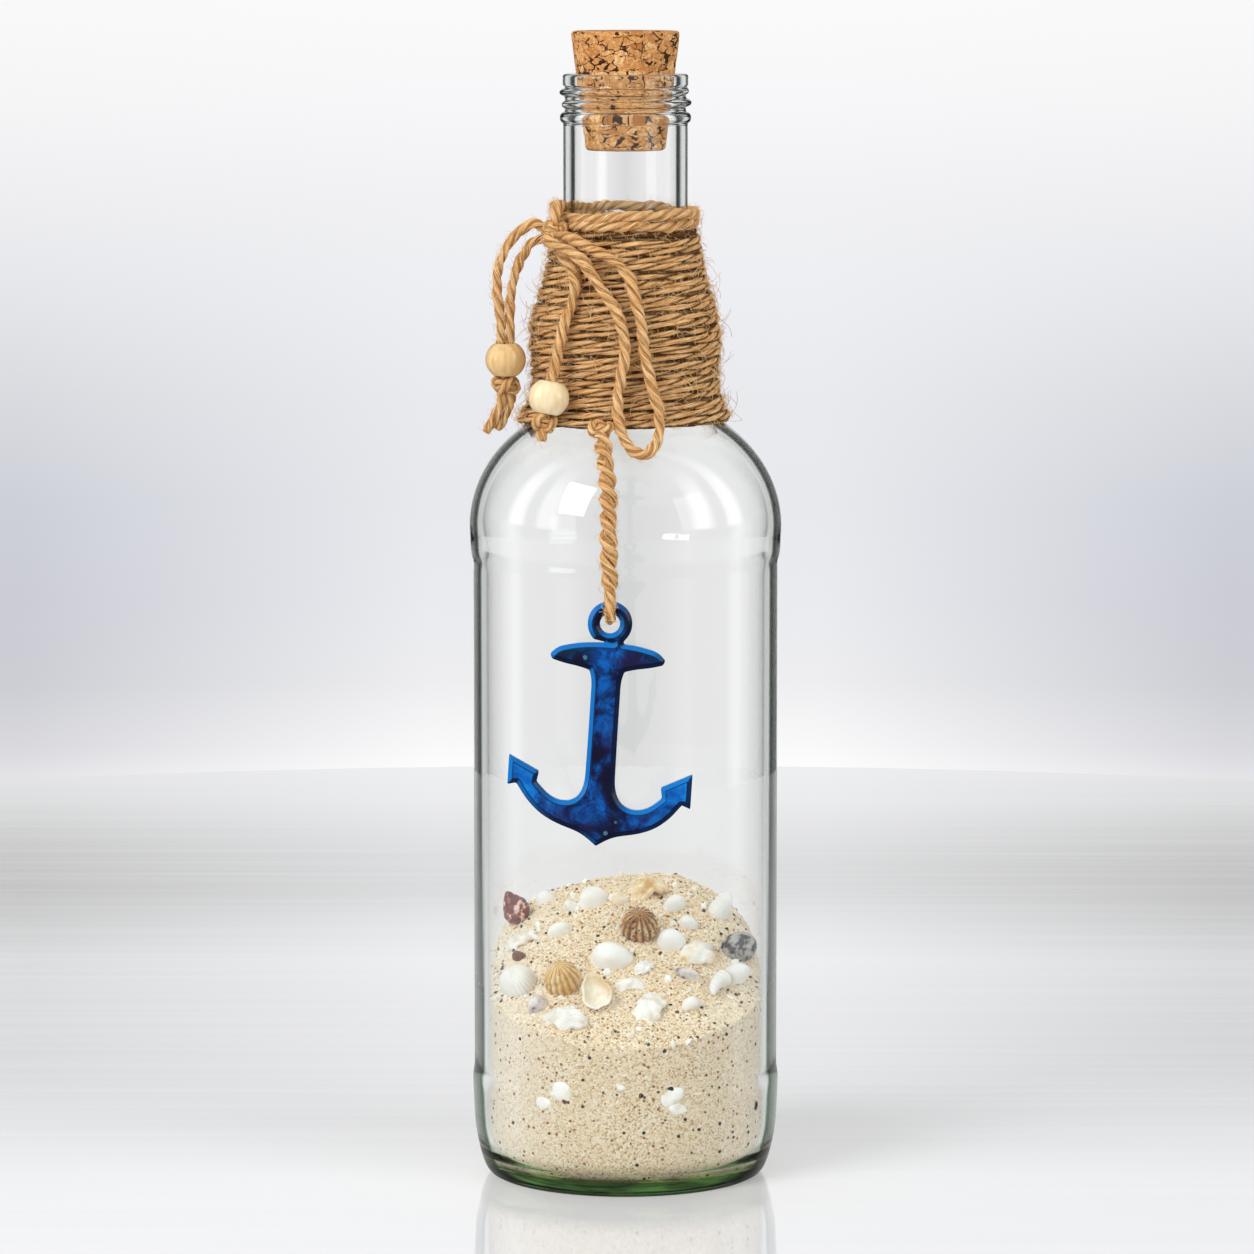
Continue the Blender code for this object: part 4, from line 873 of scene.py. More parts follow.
def makeBottle(s, material):
    soft, wall = s["soft"], s["panel"] - s["wall"]
    lip = ellipse(s["rimRadius"] - soft, s["rim"] - soft, soft, soft, 0, 90, 6)
    innerLip = ellipse(s["bore"] + soft, s["rim"] - soft, soft, soft, 90, 180, 6)
    under = [(0, 0), (0.010, 0), (0.020, 0), (0.028, 0)]
    body, mouth = softened(bodyOutline(s), 0.0011, 0.0007), softened(finishOutside(s), 0.00025, 0.00017)
    outside = np.concatenate([under, body, mouth[1:-1], lip])
    dome = ellipse(0, s["shoulderCentre"], s["shoulder"] - s["wall"], s["shoulderRise"] - s["wall"],
                   s["shoulderTop"], 0, 30)
    width, rise = s["innerHeel"]
    heel = ellipse(wall - width, s["floor"] + rise, width, rise, 0, -90, 14)
    inner = softened(np.concatenate([
        [(s["bore"], s["rim"] - soft - 0.0004), (s["bore"], s["neckFoot"] - 0.0030),
         (s["rootRadius"] - 0.0038, s["rootHeight"] - 0.0015)],
        dome, [(wall, s["seam"])], heel, [(0.012, s["floor"])]]), 0.0017, 0.0012)
    outline = np.concatenate([outside, innerLip, inner, [(0, s["floor"])]])
    marks = np.concatenate([np.ones(len(outside)), np.zeros(len(outline) - len(outside))])
    start = math.radians(s["threadStart"])
    end = start + 2 * math.pi * s["threadTurns"]

    def thread(reach, angles, heights):
        ridge = np.zeros_like(reach)
        for lap in (-1, 0, 1, 2):
            turn = (-np.pi / 2 - angles) % (2 * np.pi) + 2 * np.pi * lap
            inside = np.clip(np.minimum(turn - start, end - turn) / 0.5, 0, 1)
            crest = s["rim"] - s["threadDrop"] - s["threadPitch"] / (2 * np.pi) * (turn - np.sin(turn))
            swell = np.clip(1 - ((heights - crest) / (s["threadHalf"] * 1.1)) ** 2, 0, None) ** 0.6
            ridge = np.maximum(ridge, s["threadDepth"] * swell * inside)
        outer = (np.arange(len(heights)) < len(outside) - 1)[:, None]
        return ridge * outer * (heights > s["neckFoot"] + 0.005) * (reach > s["bore"] + 0.001)

    return turned("glassBottle", outline, s["sides"], material, thread, {"outside": marks})


bottle = makeBottle(glassSizes, glassFinish(glassLook))
print("glass turned")


# cork
corkSizes = {
    "top": 0.2743, "length": 0.0282, "topRadius": 0.0129, "taper": 0.0034, "soft": 0.0006, "pits": 0.00045,
    "pitCount": 120, "sides": 168,
}
corkColours = {
    "body": (0.64, 0.315, 0.110), "pale": (0.86, 0.53, 0.25), "rust": (0.43, 0.165, 0.046),
    "crack": (0.045, 0.017, 0.007),
}


def corkFinish(colours):
    material, tree, shader, place = newFinish("cork", 0.9, 0.2)
    bend = noise(tree, place, 330.0, 4.0)["Color"]
    shifted = put(tree, "ShaderNodeVectorMath", {0: bend, 1: (0.0030, 0.0030, 0.0030)},
                  operation="MULTIPLY").outputs[0]
    twisted = put(tree, "ShaderNodeVectorMath", {0: place, 1: shifted}, operation="ADD").outputs[0]
    flat = mapped(tree, twisted, (0.72, 0.72, 1.5), (0.5, 0.45, 0.3))
    tone = channel(tree, cells(tree, flat, 400.0)["Color"])
    body = ramp(tree, tone, [(0.0, colours["rust"]), (0.25, colours["body"]), (0.75, colours["body"]),
                             (1.0, colours["pale"])])
    fine = noise(tree, place, 1300.0, 4.0)[0]
    body = mixColours(tree, ramp(tree, fine, [(0.40, 0.65), (0.58, 0.0)]), body, colours["rust"])
    body = mixColours(tree, ramp(tree, fine, [(0.56, 0.0), (0.68, 0.5)]), body, colours["pale"])
    opening = product(tree, mottle(tree, place, 340.0, 0.45, 0.68), 0.105)
    seams = cells(tree, flat, 400.0, feature="DISTANCE_TO_EDGE")["Distance"]
    spots = noise(tree, mapped(tree, twisted, (1300.0, 1300.0, 420.0), (0.9, 0.5, 0.2)), 1.0, 1.0)[0]
    dark = calculate(tree, "MAXIMUM", calculate(tree, "LESS_THAN", seams, opening),
                     calculate(tree, "GREATER_THAN", spots, 0.70))
    height = calculate(tree, "SUBTRACT", fine, product(tree, dark, 2.5))
    paint(tree, shader, mixColours(tree, dark, body, colours["crack"]), bumped(tree, height, 0.0002, 0.9))
    return material


def makeCork(s, material):
    foot, soft = s["top"] - s["length"], s["soft"]
    footRadius = s["topRadius"] - s["taper"]
    outline = softened([
        (0.0, foot), (0.004, foot), (footRadius - soft, foot), (footRadius, foot + soft),
        (s["topRadius"], s["top"] - soft), (s["topRadius"] - soft, s["top"]), (0.006, s["top"]),
        (0.002, s["top"])], 0.00035, 0.0003)
    outline = np.concatenate([[(0, foot)], outline[1:], [(0, s["top"])]])
    pick = np.random.default_rng(5)
    pits = [(pick.uniform(0, 2 * np.pi), pick.uniform(foot, s["top"]), pick.uniform(0.0005, 0.0013),
             pick.uniform(0.5, 1.0))
            for _ in range(s["pitCount"])]

    def pitted(reach, angles, heights):
        dents = 0.00006 * np.sin(angles * 23 + heights * 4100) * np.cos(angles * 31 - heights * 2900)
        for angle, height, width, depth in pits:
            gap = np.abs((angles - angle + np.pi) % (2 * np.pi) - np.pi) * s["topRadius"]
            rise = (heights - height) / (0.55 * width)
            dents = dents - s["pits"] * depth * np.exp(-(gap / width) ** 2 - rise ** 2)
        return dents * (reach > 0.006)

    return turned("corkStopper", outline, s["sides"], material, pitted)


cork = makeCork(corkSizes, corkFinish(corkColours))
print("cork turned")


# sand
sandSizes = {
    "front": 0.0359, "rise": 0.0332, "run": 0.0440, "droop": 0.0088, "peak": 0.0042, "peakReach": 0.0135,
    "ripple": 0.0004, "reach": 0.0326, "wall": 0.03276, "rings": 74, "sides": 200, "sideRows": 40,
    "dents": 70, "sideShade": 0.30,
}
sandReach = (glassSizes["panel"] - glassSizes["wall"]) * math.cos(math.pi / 32) - 0.0003  # as in the solid


def sandHeight(x, y):
    s = sandSizes
    run = (y + sandReach) / s["run"]
    over = np.maximum(0.0, run - 0.65)
    climb = s["rise"] * (run - 0.5 * over * over / 0.50)
    droop = s["droop"] * np.abs(x / sandReach) ** 3
    away = np.hypot(x / sandReach - 0.20, y / sandReach - 0.40)
    bump = s["peak"] * np.exp(-0.5 * (away * sandReach / s["peakReach"]) ** 2)
    ripple = s["ripple"] * np.sin(9 * x / sandReach + 1) * np.cos(7 * y / sandReach)
    return s["front"] + climb - droop + bump + ripple


sandTones = [(0.0, (0.26, 0.12, 0.045)), (0.09, (0.50, 0.31, 0.145)), (0.24, (0.74, 0.56, 0.34)),
             (0.55, (0.86, 0.70, 0.48)), (0.85, (0.95, 0.85, 0.68)), (1.0, (0.98, 0.95, 0.88))]


def sandFinish():
    material, tree, shader, place = newFinish("sand", 0.9, 0.25)
    grains = cells(tree, place, 2600.0)
    body = ramp(tree, channel(tree, grains["Color"]), sandTones)
    body = mixColours(tree, product(tree, mottle(tree, place, 130.0, 0.35, 0.70), 0.22), body,
                      (0.78, 0.57, 0.34))
    # painted shade: the sand's side against the glass is toned darker and duller than its top
    body = mixColours(tree, mark(tree, "side"), body, (0.64, 0.49, 0.34))
    # painted light: the sand lighter towards its left and right edges
    across = calculate(tree, "MULTIPLY_ADD", axes(tree, place)[0], 15.0, 0.5)
    lit = ramp(tree, across, [(0.02, 0.62), (0.10, 0.42), (0.30, 0.0), (0.72, 0.0), (0.98, 0.40)])
    body = mixColours(tree, lit, body, (0.98, 0.92, 0.83))
    body = mixColours(tree, specks(tree, place, 950.0, 0.12, 0.40), body, (0.30, 0.115, 0.045))
    moved = mapped(tree, place, move=(0.013, 0.031, 0.007))
    body = mixColours(tree, specks(tree, moved, 640.0, 0.085, 0.34), body, (0.020, 0.020, 0.026))
    paint(tree, shader, body, bumped(tree, grains["Distance"], 0.00025, 0.55, invert=True))
    return material


def makeSand(s, material):
    pick = np.random.default_rng(17)
    angles = around(s["sides"])
    radii = s["reach"] * np.linspace(0, 1, s["rings"] + 1)[1:] ** 0.9
    x, y = radii[:, None] * np.cos(angles), radii[:, None] * np.sin(angles)
    height = sandHeight(x, y) + 0.00011 * pick.normal(size=x.shape)
    for _ in range(s["dents"]):
        px, py, wide = pick.uniform(-0.03, 0.03), pick.uniform(-0.03, 0.03), pick.uniform(0.0008, 0.0030)
        height += pick.uniform(-0.00035, 0.00045) * np.exp(-((x - px) ** 2 + (y - py) ** 2) / wide**2)
    rows = list(np.stack([x, y, height], -1))
    edge = sandHeight(s["wall"] * np.cos(angles), s["wall"] * np.sin(angles))
    edge = edge + 0.00012 * pick.normal(size=angles.shape)
    width, rise = glassSizes["innerHeel"]
    low = glassSizes["floor"] + rise
    rows += [spun(s["wall"], edge * (1 - share) + low * share, angles)
             for share in np.linspace(0, 1, s["sideRows"])]
    rows += [spun(radius, z, angles)
             for radius, z in ellipse(s["wall"] - width, low, width, 0.0101, -6, -90, 12)]
    points = np.concatenate([*rows, [[0, 0, float(sandHeight(0, 0))], [0, 0, 0.0037]]])
    side = np.zeros(len(points))
    side[len(radii) * s["sides"]:-2] = s["sideShade"]
    return makePiece("sandBed", points, cappedFaces(len(rows), s["sides"]), material, marks={"side": side})


def grainNodes():
    tree, given, out = newGrowth("looseGrains", {"Smallest": "Float", "Largest": "Float"})
    up = axes(tree, put(tree, "GeometryNodeInputNormal").outputs[0])[2]
    seats = scatter(tree, given, above(tree, up, 0.25))
    grain = put(tree, "GeometryNodeMeshIcoSphere", {"Radius": 1.0, "Subdivisions": 1}).outputs["Mesh"]
    turn = toRotation(tree, chance(tree, "FLOAT_VECTOR", (0, 0, 0), (6.28, 6.28, 6.28), (0, 1), 0))
    small, large = (put(tree, "ShaderNodeCombineXYZ", {axis: given[key] for axis in range(3)}).outputs[0]
                    for key in ("Smallest", "Largest"))
    return finishGrowth(tree, given, out, put(tree, "GeometryNodeInstanceOnPoints", {
        "Points": seats["Points"], "Instance": grain, "Rotation": turn,
        "Scale": chance(tree, "FLOAT_VECTOR", small, large, (0, 1), 0)}))


def grainFinish(name, stops, scale):
    material, tree, shader, place = newFinish(name, 0.6, 0.4)
    tone = channel(tree, cells(tree, place, scale)["Color"])
    paint(tree, shader, ramp(tree, tone, stops, "CONSTANT"), relief(tree, place, 3000.0, 0.0001, 0.4))
    return material


grainColours = {  # tones and how fine they change
    "paleGrain": ([(0.0, (0.90, 0.76, 0.56)), (0.35, (0.94, 0.86, 0.73)), (0.62, (0.84, 0.64, 0.42)),
                   (0.82, (0.88, 0.72, 0.52)), (0.94, (0.50, 0.26, 0.12))], 700.0),
    "darkGrain": ([(0.0, (0.015, 0.016, 0.022)), (0.45, (0.06, 0.035, 0.025)), (0.65, (0.17, 0.06, 0.03)),
                   (0.85, (0.03, 0.035, 0.05))], 300.0),
    "chip": ([(0.0, (0.93, 0.90, 0.85)), (0.55, (0.97, 0.96, 0.94)), (0.85, (0.86, 0.74, 0.58))], 350.0),
}
grainLooks = {name: grainFinish(name, *values) for name, values in grainColours.items()}
grainSettings = {
    "looseGrains": {"Density": 1050000.0, "Smallest": 0.00013, "Largest": 0.00036, "Seed": 11,
                    "Finish": "paleGrain"},
    "darkGrains": {"Density": 21000.0, "Smallest": 0.00020, "Largest": 0.00062, "Seed": 12,
                   "Finish": "darkGrain"},
    "shellChips": {"Density": 16000.0, "Smallest": 0.00030, "Largest": 0.00140, "Seed": 13, "Finish": "chip"},
}
sandBed, grainTree = makeSand(sandSizes, sandFinish()), grainNodes()
grains = [grow(name, sandBed, grainTree, {**values, "Finish": grainLooks[values["Finish"]]})
          for name, values in grainSettings.items()]
print("sand banked")


# shells
shellColours = {
    "shellWhite": {"stops": [(0.0, (0.88, 0.85, 0.79)), (0.5, (0.95, 0.94, 0.91)), (1.0, (0.97, 0.97, 0.96))],
                   "patch": 160.0, "lines": 9.0, "depth": 0.10, "colour": (0.80, 0.74, 0.66)},
    "shellChalk": {"stops": [(0.0, (0.80, 0.72, 0.60)), (0.4, (0.93, 0.90, 0.85)), (1.0, (0.97, 0.96, 0.94))],
                   "patch": 330.0, "lines": 5.0, "depth": 0.16, "colour": (0.72, 0.60, 0.46),
                   "roughness": 0.6},
    "shellRibbed": {"stops": [(0.0, (0.88, 0.84, 0.78)), (1.0, (0.97, 0.96, 0.94))],
                    "patch": 120.0, "lines": 3.4, "depth": 0.12, "colour": (0.78, 0.72, 0.64), "way": "Y"},
    "shellRed": {"stops": [(0.0, (0.86, 0.66, 0.58)), (0.34, (0.80, 0.50, 0.42)),
                           (0.42, (0.22, 0.060, 0.048)), (1.0, (0.14, 0.038, 0.034))],
                 "patch": 400.0, "lines": 5.0, "depth": 0.18, "colour": (0.36, 0.14, 0.11),
                 "roughness": 0.22},
    "shellSpotted": {"stops": [(0.0, (0.46, 0.20, 0.052)), (0.5, (0.66, 0.36, 0.13)),
                               (1.0, (0.84, 0.62, 0.36))],
                     "patch": 300.0, "lines": 15.0 / math.pi, "depth": 0.9, "colour": (0.10, 0.032, 0.010),
                     "way": "Y", "spots": (0.045, 0.018, 0.012)},
    "shellYellow": {"stops": [(0.0, (0.76, 0.48, 0.16)), (0.6, (0.86, 0.62, 0.29)),
                              (1.0, (0.92, 0.76, 0.48))],
                    "patch": 260.0, "lines": 15.0 / math.pi, "depth": 0.75, "colour": (0.42, 0.17, 0.030),
                    "way": "Y"},
    "shellGrey": {"stops": [(0.0, (0.055, 0.052, 0.060)), (0.42, (0.115, 0.105, 0.115)),
                            (0.58, (0.42, 0.40, 0.39)), (1.0, (0.62, 0.60, 0.57))],
                  "patch": 420.0, "lines": 6.0, "depth": 0.38, "colour": (0.035, 0.032, 0.040)},
    "shellCream": {"stops": [(0.0, (0.80, 0.58, 0.32)), (0.5, (0.90, 0.78, 0.58)), (1.0, (0.95, 0.90, 0.80))],
                   "patch": 210.0, "lines": 5.0, "depth": 0.14, "colour": (0.74, 0.50, 0.24)},
    "shellAmber": {"stops": [(0.0, (0.72, 0.40, 0.12)), (0.35, (0.90, 0.70, 0.42)), (0.7, (0.95, 0.90, 0.80)),
                             (1.0, (0.96, 0.94, 0.90))],
                   "patch": 240.0, "lines": 4.0, "depth": 0.12, "colour": (0.66, 0.36, 0.10)},
    "shellTan": {"stops": [(0.0, (0.66, 0.40, 0.17)), (0.45, (0.84, 0.62, 0.36)), (1.0, (0.93, 0.80, 0.60))],
                 "patch": 330.0, "lines": 5.0, "depth": 0.20, "colour": (0.60, 0.34, 0.13), "roughness": 0.6},
    "shellLilac": {"stops": [(0.0, (0.20, 0.13, 0.14)), (0.3, (0.62, 0.54, 0.54)), (1.0, (0.90, 0.86, 0.84))],
                   "patch": 380.0, "lines": 7.0, "depth": 0.2, "colour": (0.42, 0.33, 0.34)},
    "stoneDark": {"stops": [(0.0, (0.10, 0.045, 0.028)), (1.0, (0.24, 0.12, 0.075))],
                  "patch": 500.0, "lines": 3.0, "depth": 0.2, "colour": (0.05, 0.025, 0.02)},
}


def shellFinish(name, look):
    # growth lines across, soft colour patches and a worn surface
    material, tree, shader, place = newFinish(name, look.get("roughness", 0.35), 0.45)
    own = put(tree, "ShaderNodeUVMap", uv_map="strand").outputs[0]
    body = ramp(tree, mottle(tree, place, look["patch"], 0.36, 0.62), look["stops"])
    waves = put(tree, "ShaderNodeTexWave", {
        "Vector": own, "Scale": look["lines"], "Distortion": 1.5, "Detail": 2.0, "Detail Scale": 2.0},
        bands_direction=look.get("way", "X")).outputs["Fac"]
    body = mixColours(tree, product(tree, waves, look["depth"]), body, look["colour"])
    if "spots" in look:
        body = mixColours(tree, specks(tree, place, 1250.0, 0.40, 0.42), body, look["spots"])
    height = calculate(tree, "ADD", noise(tree, place, 1400.0, 4.0)[0], waves)
    paint(tree, shader, body, bumped(tree, height, 0.00012, 0.35))
    return material


def seatFrame(across, depth, turn):
    # a place on the sand, level with its slope
    step = 0.0047
    slopeX = (sandHeight(across + step, depth) - sandHeight(across - step, depth)) / (2 * step)
    slopeY = (sandHeight(across, depth + step) - sandHeight(across, depth - step)) / (2 * step)
    normal = Vector((-slopeX, -slopeY, 1)).normalized()
    along = Vector((math.cos(turn), math.sin(turn), 0))
    along = (along - normal * along.dot(normal)).normalized()
    seat = Matrix((along, normal.cross(along), normal)).transposed().to_4x4()
    seat.translation = Vector((across, depth, float(sandHeight(across, depth)))) - normal * 0.0001
    return seat


def roundGrid(rows, sides):
    return np.meshgrid(np.linspace(-np.pi / 2, np.pi / 2, rows + 2)[1:-1], around(sides), indexing="ij")


def capped(points, low, high):
    rows, sides = points.shape[:2]
    return (np.concatenate([points.reshape(-1, 3), [low, high]]), cappedFaces(rows, sides),
            cappedUv(rows, sides, np.linspace(0, 1, rows)))


def pressed(points, sizes, under):
    # a closed form at its real size, with its underside pressed flat
    points[..., 2] *= np.where(points[..., 2] < 0, under, 1.0)
    return capped(points * np.array(sizes), (0, 0, -under * sizes[2]), (0, 0, sizes[2]))


def lumpy(points, seed, scale, amount):
    # uneven surface: each point moves along its own direction from the middle
    pick = np.random.default_rng(seed)
    flat = points.reshape(-1, 3)
    unit = flat / (np.linalg.norm(flat, axis=1)[:, None] + 1e-9)
    total = np.zeros(len(flat))
    for _ in range(9):
        way = pick.normal(size=3)
        way *= scale * pick.uniform(0.6, 2.4) / np.linalg.norm(way)
        total += np.sin(unit @ way + pick.uniform(0, 6.28)) / 9
    return (flat * (1 + amount * 2.2 * total[:, None])).reshape(points.shape)


def pebbleShape(sizes, seed, rough=0.10):
    up, turn = roundGrid(18, 28)
    return pressed(lumpy(spun(np.cos(up), np.sin(up), turn), seed, 3.0, rough), sizes, 0.35)


def cowryShape(sizes, seed):
    # a smooth valve with a beak at one end and a fine rim
    up, turn = roundGrid(24, 40)
    beak = 1 + 0.12 * np.exp(-((turn + np.pi) % (2 * np.pi) - np.pi) ** 2 / 0.25) * np.cos(up)
    taper = 1 - 0.14 * (0.5 + 0.5 * np.cos(turn))
    reach = np.cos(up) ** 0.8
    points = lumpy(np.stack([reach * np.cos(turn) * beak, reach * np.sin(turn) * taper, np.sin(up)], -1),
                   seed, 2.0, 0.025)
    points[..., :2] *= (1 + 0.05 * np.exp(-(up / 0.16) ** 2))[..., None]
    return pressed(points, sizes, 0.2)


def scallopShape(sizes, seed):
    # fine ribs that fan out from the hinge
    up, turn = roundGrid(26, 96)
    fan = np.arctan2(np.sin(turn), np.cos(turn) + 1.25)
    rib = 1 + 0.045 * np.cos(fan * 58) * np.cos(up) ** 0.5
    reach = np.cos(up) ** 0.75
    hinge = 1 - 0.18 * np.clip(-np.cos(turn), 0, 1)
    points = np.stack([reach * np.cos(turn), reach * np.sin(turn) * hinge, np.sin(up)], -1)
    return pressed(points * rib[..., None], sizes, 0.15)


def snailShape(sizes, seed):
    # a pointed top shell: whorls step in towards the tip along one spiral groove
    rows = sides = 64
    share, turn = np.meshgrid(np.linspace(0.012, 0.988, rows), around(sides), indexing="ij")
    spiral = (share * 4.6 + turn / (2 * np.pi)) % 1
    places = [0, 0.06, 0.20, 0.36, 0.55, 0.75, 0.9, 1]
    reach = np.interp(share, places, [0.30, 0.74, 0.98, 1.0, 0.80, 0.52, 0.29, 0.06])
    reach = reach * (1 - 0.10 * np.exp(-((spiral - 0.5) / 0.13) ** 2))
    reach = reach * (1 + 0.10 * np.cos(turn - 0.6) * (1 - share))
    level = np.interp(share, places, [-0.04, 0.02, 0.18, 0.36, 0.58, 0.78, 0.92, 1.02])
    length, width, height = sizes
    points = spun(reach, level, turn) * np.array((length, width, height * 1.18))
    return capped(points, (0, 0, -0.02 * height), (0, 0, 1.21 * height))


def nutShape(sizes, seed):
    # a round whorled shell with ribs that run over it and a small opening near the top
    rows, sides = 54, 84
    up, turn = np.meshgrid(np.linspace(-0.42, np.pi / 2 - 0.03, rows), around(sides), indexing="ij")
    spiral = ((np.pi / 2 - up) * 0.75 + turn / (2 * np.pi)) % 1
    reach = np.cos(up) ** 0.85 * (1 - 0.07 * np.exp(-((spiral - 0.5) / 0.09) ** 2))
    reach = reach * (1 + 0.055 * np.cos(turn * 15 + up * 3) * np.cos(up) ** 0.6)
    points = lumpy(spun(reach, np.sin(up) * 0.80 + 0.20, turn), seed, 2.2, 0.03)
    mouth = np.array((math.cos(4.4) * 0.45, math.sin(4.4) * 0.45, 0.88))
    away = np.linalg.norm(points - mouth, axis=2)
    points -= np.array((0, 0, 1.0)) * (0.24 * np.exp(-(away / 0.13) ** 2))[..., None]
    points *= np.array((sizes[0], sizes[1], sizes[2] * 1.08))
    return capped(points, *((0, 0, float(points[row, :, 2].mean())) for row in (0, -1)))


def hornShape(sizes, seed):
    # a curved cone that opens at its wide end
    along, turn = np.linspace(0, 1, 34), around(24)
    bend = 1.5 * along
    centre = np.stack([np.sin(bend) - 0.55, 0.55 * (1 - np.cos(bend)) - 0.25,
                       0 * along + 0.35 - 0.15 * along], -1)
    thick = (0.42 * (1 - along) ** 0.75 + 0.03) * (1 + 0.05 * np.cos(along * 46))
    aside = np.stack([-np.sin(bend), np.cos(bend), 0 * bend], -1)
    points = centre[:, None] + thick[:, None, None] * (
        np.cos(turn)[None, :, None] * aside[:, None] + np.sin(turn)[None, :, None] * np.array((0, 0, 0.8)))
    points, faces, uv = capped(points, centre[0] + np.array((0.22, 0.03, 0)), centre[-1])
    return points * np.array((sizes[0], sizes[1] * 1.5, sizes[2] * 1.2)), faces, uv


def shardShape(sizes, seed):
    # a broken curved plate with a ragged edge
    pick = np.random.default_rng(seed)
    rows, sides = 16, 46
    share, turn = np.linspace(0.04, 1, rows)[:, None], around(sides)
    edge = np.ones(sides)
    for wave in range(2, 12):
        edge += pick.uniform(-0.34, 0.34) / wave**0.7 * np.sin(wave * turn + pick.uniform(0, 6.28))
    edge = np.clip(edge, 0.42, 1.35)
    x, y = share * edge * np.cos(turn), share * edge * np.sin(turn)
    tilt, curl = pick.uniform(0.1, 0.5), pick.uniform(0.35, 0.7)
    top = 0.55 + tilt * x - curl * (x * x + 0.6 * y * y)
    top = np.maximum(top + 0.10 * np.sin(7 * x + seed) * np.cos(6 * y) + 0.05 * np.sin(17 * x * y + seed),
                     -0.05)
    bottom = top - 0.20 - 0.16 * (1 - share ** 2)
    points = np.concatenate([np.stack([x, y, top], -1), np.stack([x, y, bottom], -1)[::-1]])
    points, faces, uv = capped(points, *((0, 0, float(level[0].mean())) for level in (top, bottom)))
    return points * np.array(sizes), faces, uv


def cupShape(sizes, seed):
    # half of a broken shell, hollow side up
    up, turn = roundGrid(26, 40)
    share = (up + np.pi / 2) / np.pi
    outer, inner = np.clip(share * 2, 0, 1), np.clip(share * 2 - 1, 0, 1)
    rim = 1 + 0.10 * np.sin(3 * turn + 1) + 0.05 * np.sin(7 * turn)
    reach = np.where(share < 0.5, np.sin(outer * np.pi / 2), 1 - 0.16 - 0.84 * inner ** 1.5) * rim
    level = np.where(share < 0.5, 1 - np.cos(outer * np.pi / 2), 1 - 0.72 * np.sin(inner * np.pi / 2))
    points = spun(reach, level * (0.75 + 0.35 * np.cos(turn)), turn)
    points *= np.array((sizes[0], sizes[1], sizes[2] * 1.1))
    return capped(points, (0, 0, 0), (0, 0, float(points[-1, :, 2].mean())))


shellUnit = 0.0095  # metres for a size of 1
shellRows = (  # node, shape, look, across, depth, degrees, length, width, height
    ("snail_shell_red", snailShape, "shellRed", -0.80, 0.28, 60, 0.80, 0.74, 0.72),
    ("snail_shell_spotted", nutShape, "shellSpotted", 0.10, -0.12, -20, 0.92, 0.82, 0.66),
    ("snail_shell_ribbed", nutShape, "shellYellow", -0.44, -0.47, 30, 0.88, 0.82, 0.68),
    ("snail_shell_grey", nutShape, "shellGrey", 0.820, -0.09, 15, 0.92, 0.70, 0.58),
    ("scallop_shell", scallopShape, "shellRibbed", -0.77, -0.345, -65, 0.96, 0.86, 0.48),
    ("oval_shell_large", cowryShape, "shellWhite", -0.11, -0.31, 0, 1.0, 0.80, 0.50),
    ("oval_shell_back", cowryShape, "shellWhite", -0.24, 0.17, 10, 0.72, 0.58, 0.44),
    ("round_shell", cowryShape, "shellWhite", 0.33, -0.19, 0, 0.68, 0.58, 0.44),
    ("tall_shell", cowryShape, "shellWhite", 0.70, 0.19, 80, 0.62, 0.60, 0.64),
    ("cup_shell_cream", cupShape, "shellCream", -0.21, -0.62, 100, 0.90, 0.74, 0.46),
    ("horn_shell", hornShape, "shellWhite", 0.65, -0.465, 235, 1.04, 0.66, 0.56),
    ("bulb_shell", cowryShape, "shellWhite", 0.79, -0.29, 20, 0.60, 0.52, 0.48),
    ("fragment_yellow", shardShape, "shellAmber", 0.50, -0.25, 25, 1.05, 0.74, 0.52),
    ("fragment_peak", shardShape, "shellTan", 0.15, 0.20, 0, 1.16, 0.66, 0.62),
    ("fragment_left", shardShape, "shellChalk", -0.80, 0.0, 10, 1.06, 0.52, 0.36),
    ("fragment_front", shardShape, "shellChalk", -0.43, -0.74, -30, 1.30, 0.66, 0.56),
    ("fragment_small", pebbleShape, "shellLilac", -0.625, -0.59, 40, 0.50, 0.40, 0.34),
    ("fragment_right", shardShape, "shellChalk", 0.17, -0.70, 70, 1.00, 0.76, 0.44),
    ("fragment_middle", shardShape, "shellChalk", 0.02, -0.50, 0, 0.82, 0.42, 0.32),
    ("fragment_centre", shardShape, "shellWhite", 0.125, -0.38, 30, 0.50, 0.38, 0.30),
    ("fragment_side", pebbleShape, "shellChalk", 0.47, -0.63, 30, 0.50, 0.38, 0.28),
    ("tube_fragment", pebbleShape, "shellLilac", 0.45, -0.42, -15, 0.64, 0.28, 0.26),
    ("pebble_far_left", cowryShape, "shellWhite", -0.61, 0.40, 5, 0.50, 0.36, 0.30),
    ("pebble_left", pebbleShape, "shellChalk", -0.41, 0.15, -10, 0.40, 0.30, 0.26),
    ("pebble_middle", pebbleShape, "shellCream", -0.04, 0.12, 15, 0.44, 0.32, 0.28),
    ("pebble_right", cowryShape, "shellWhite", 0.36, 0.09, 30, 0.56, 0.42, 0.36),
    ("pebble_far_right", cowryShape, "shellWhite", 0.46, -0.03, -20, 0.46, 0.34, 0.30),
    ("pebble_near_left", cowryShape, "shellChalk", -0.49, -0.05, 20, 0.60, 0.36, 0.28),
    ("pebble_dark", pebbleShape, "stoneDark", -0.78, -0.14, 0, 0.34, 0.26, 0.24),
)
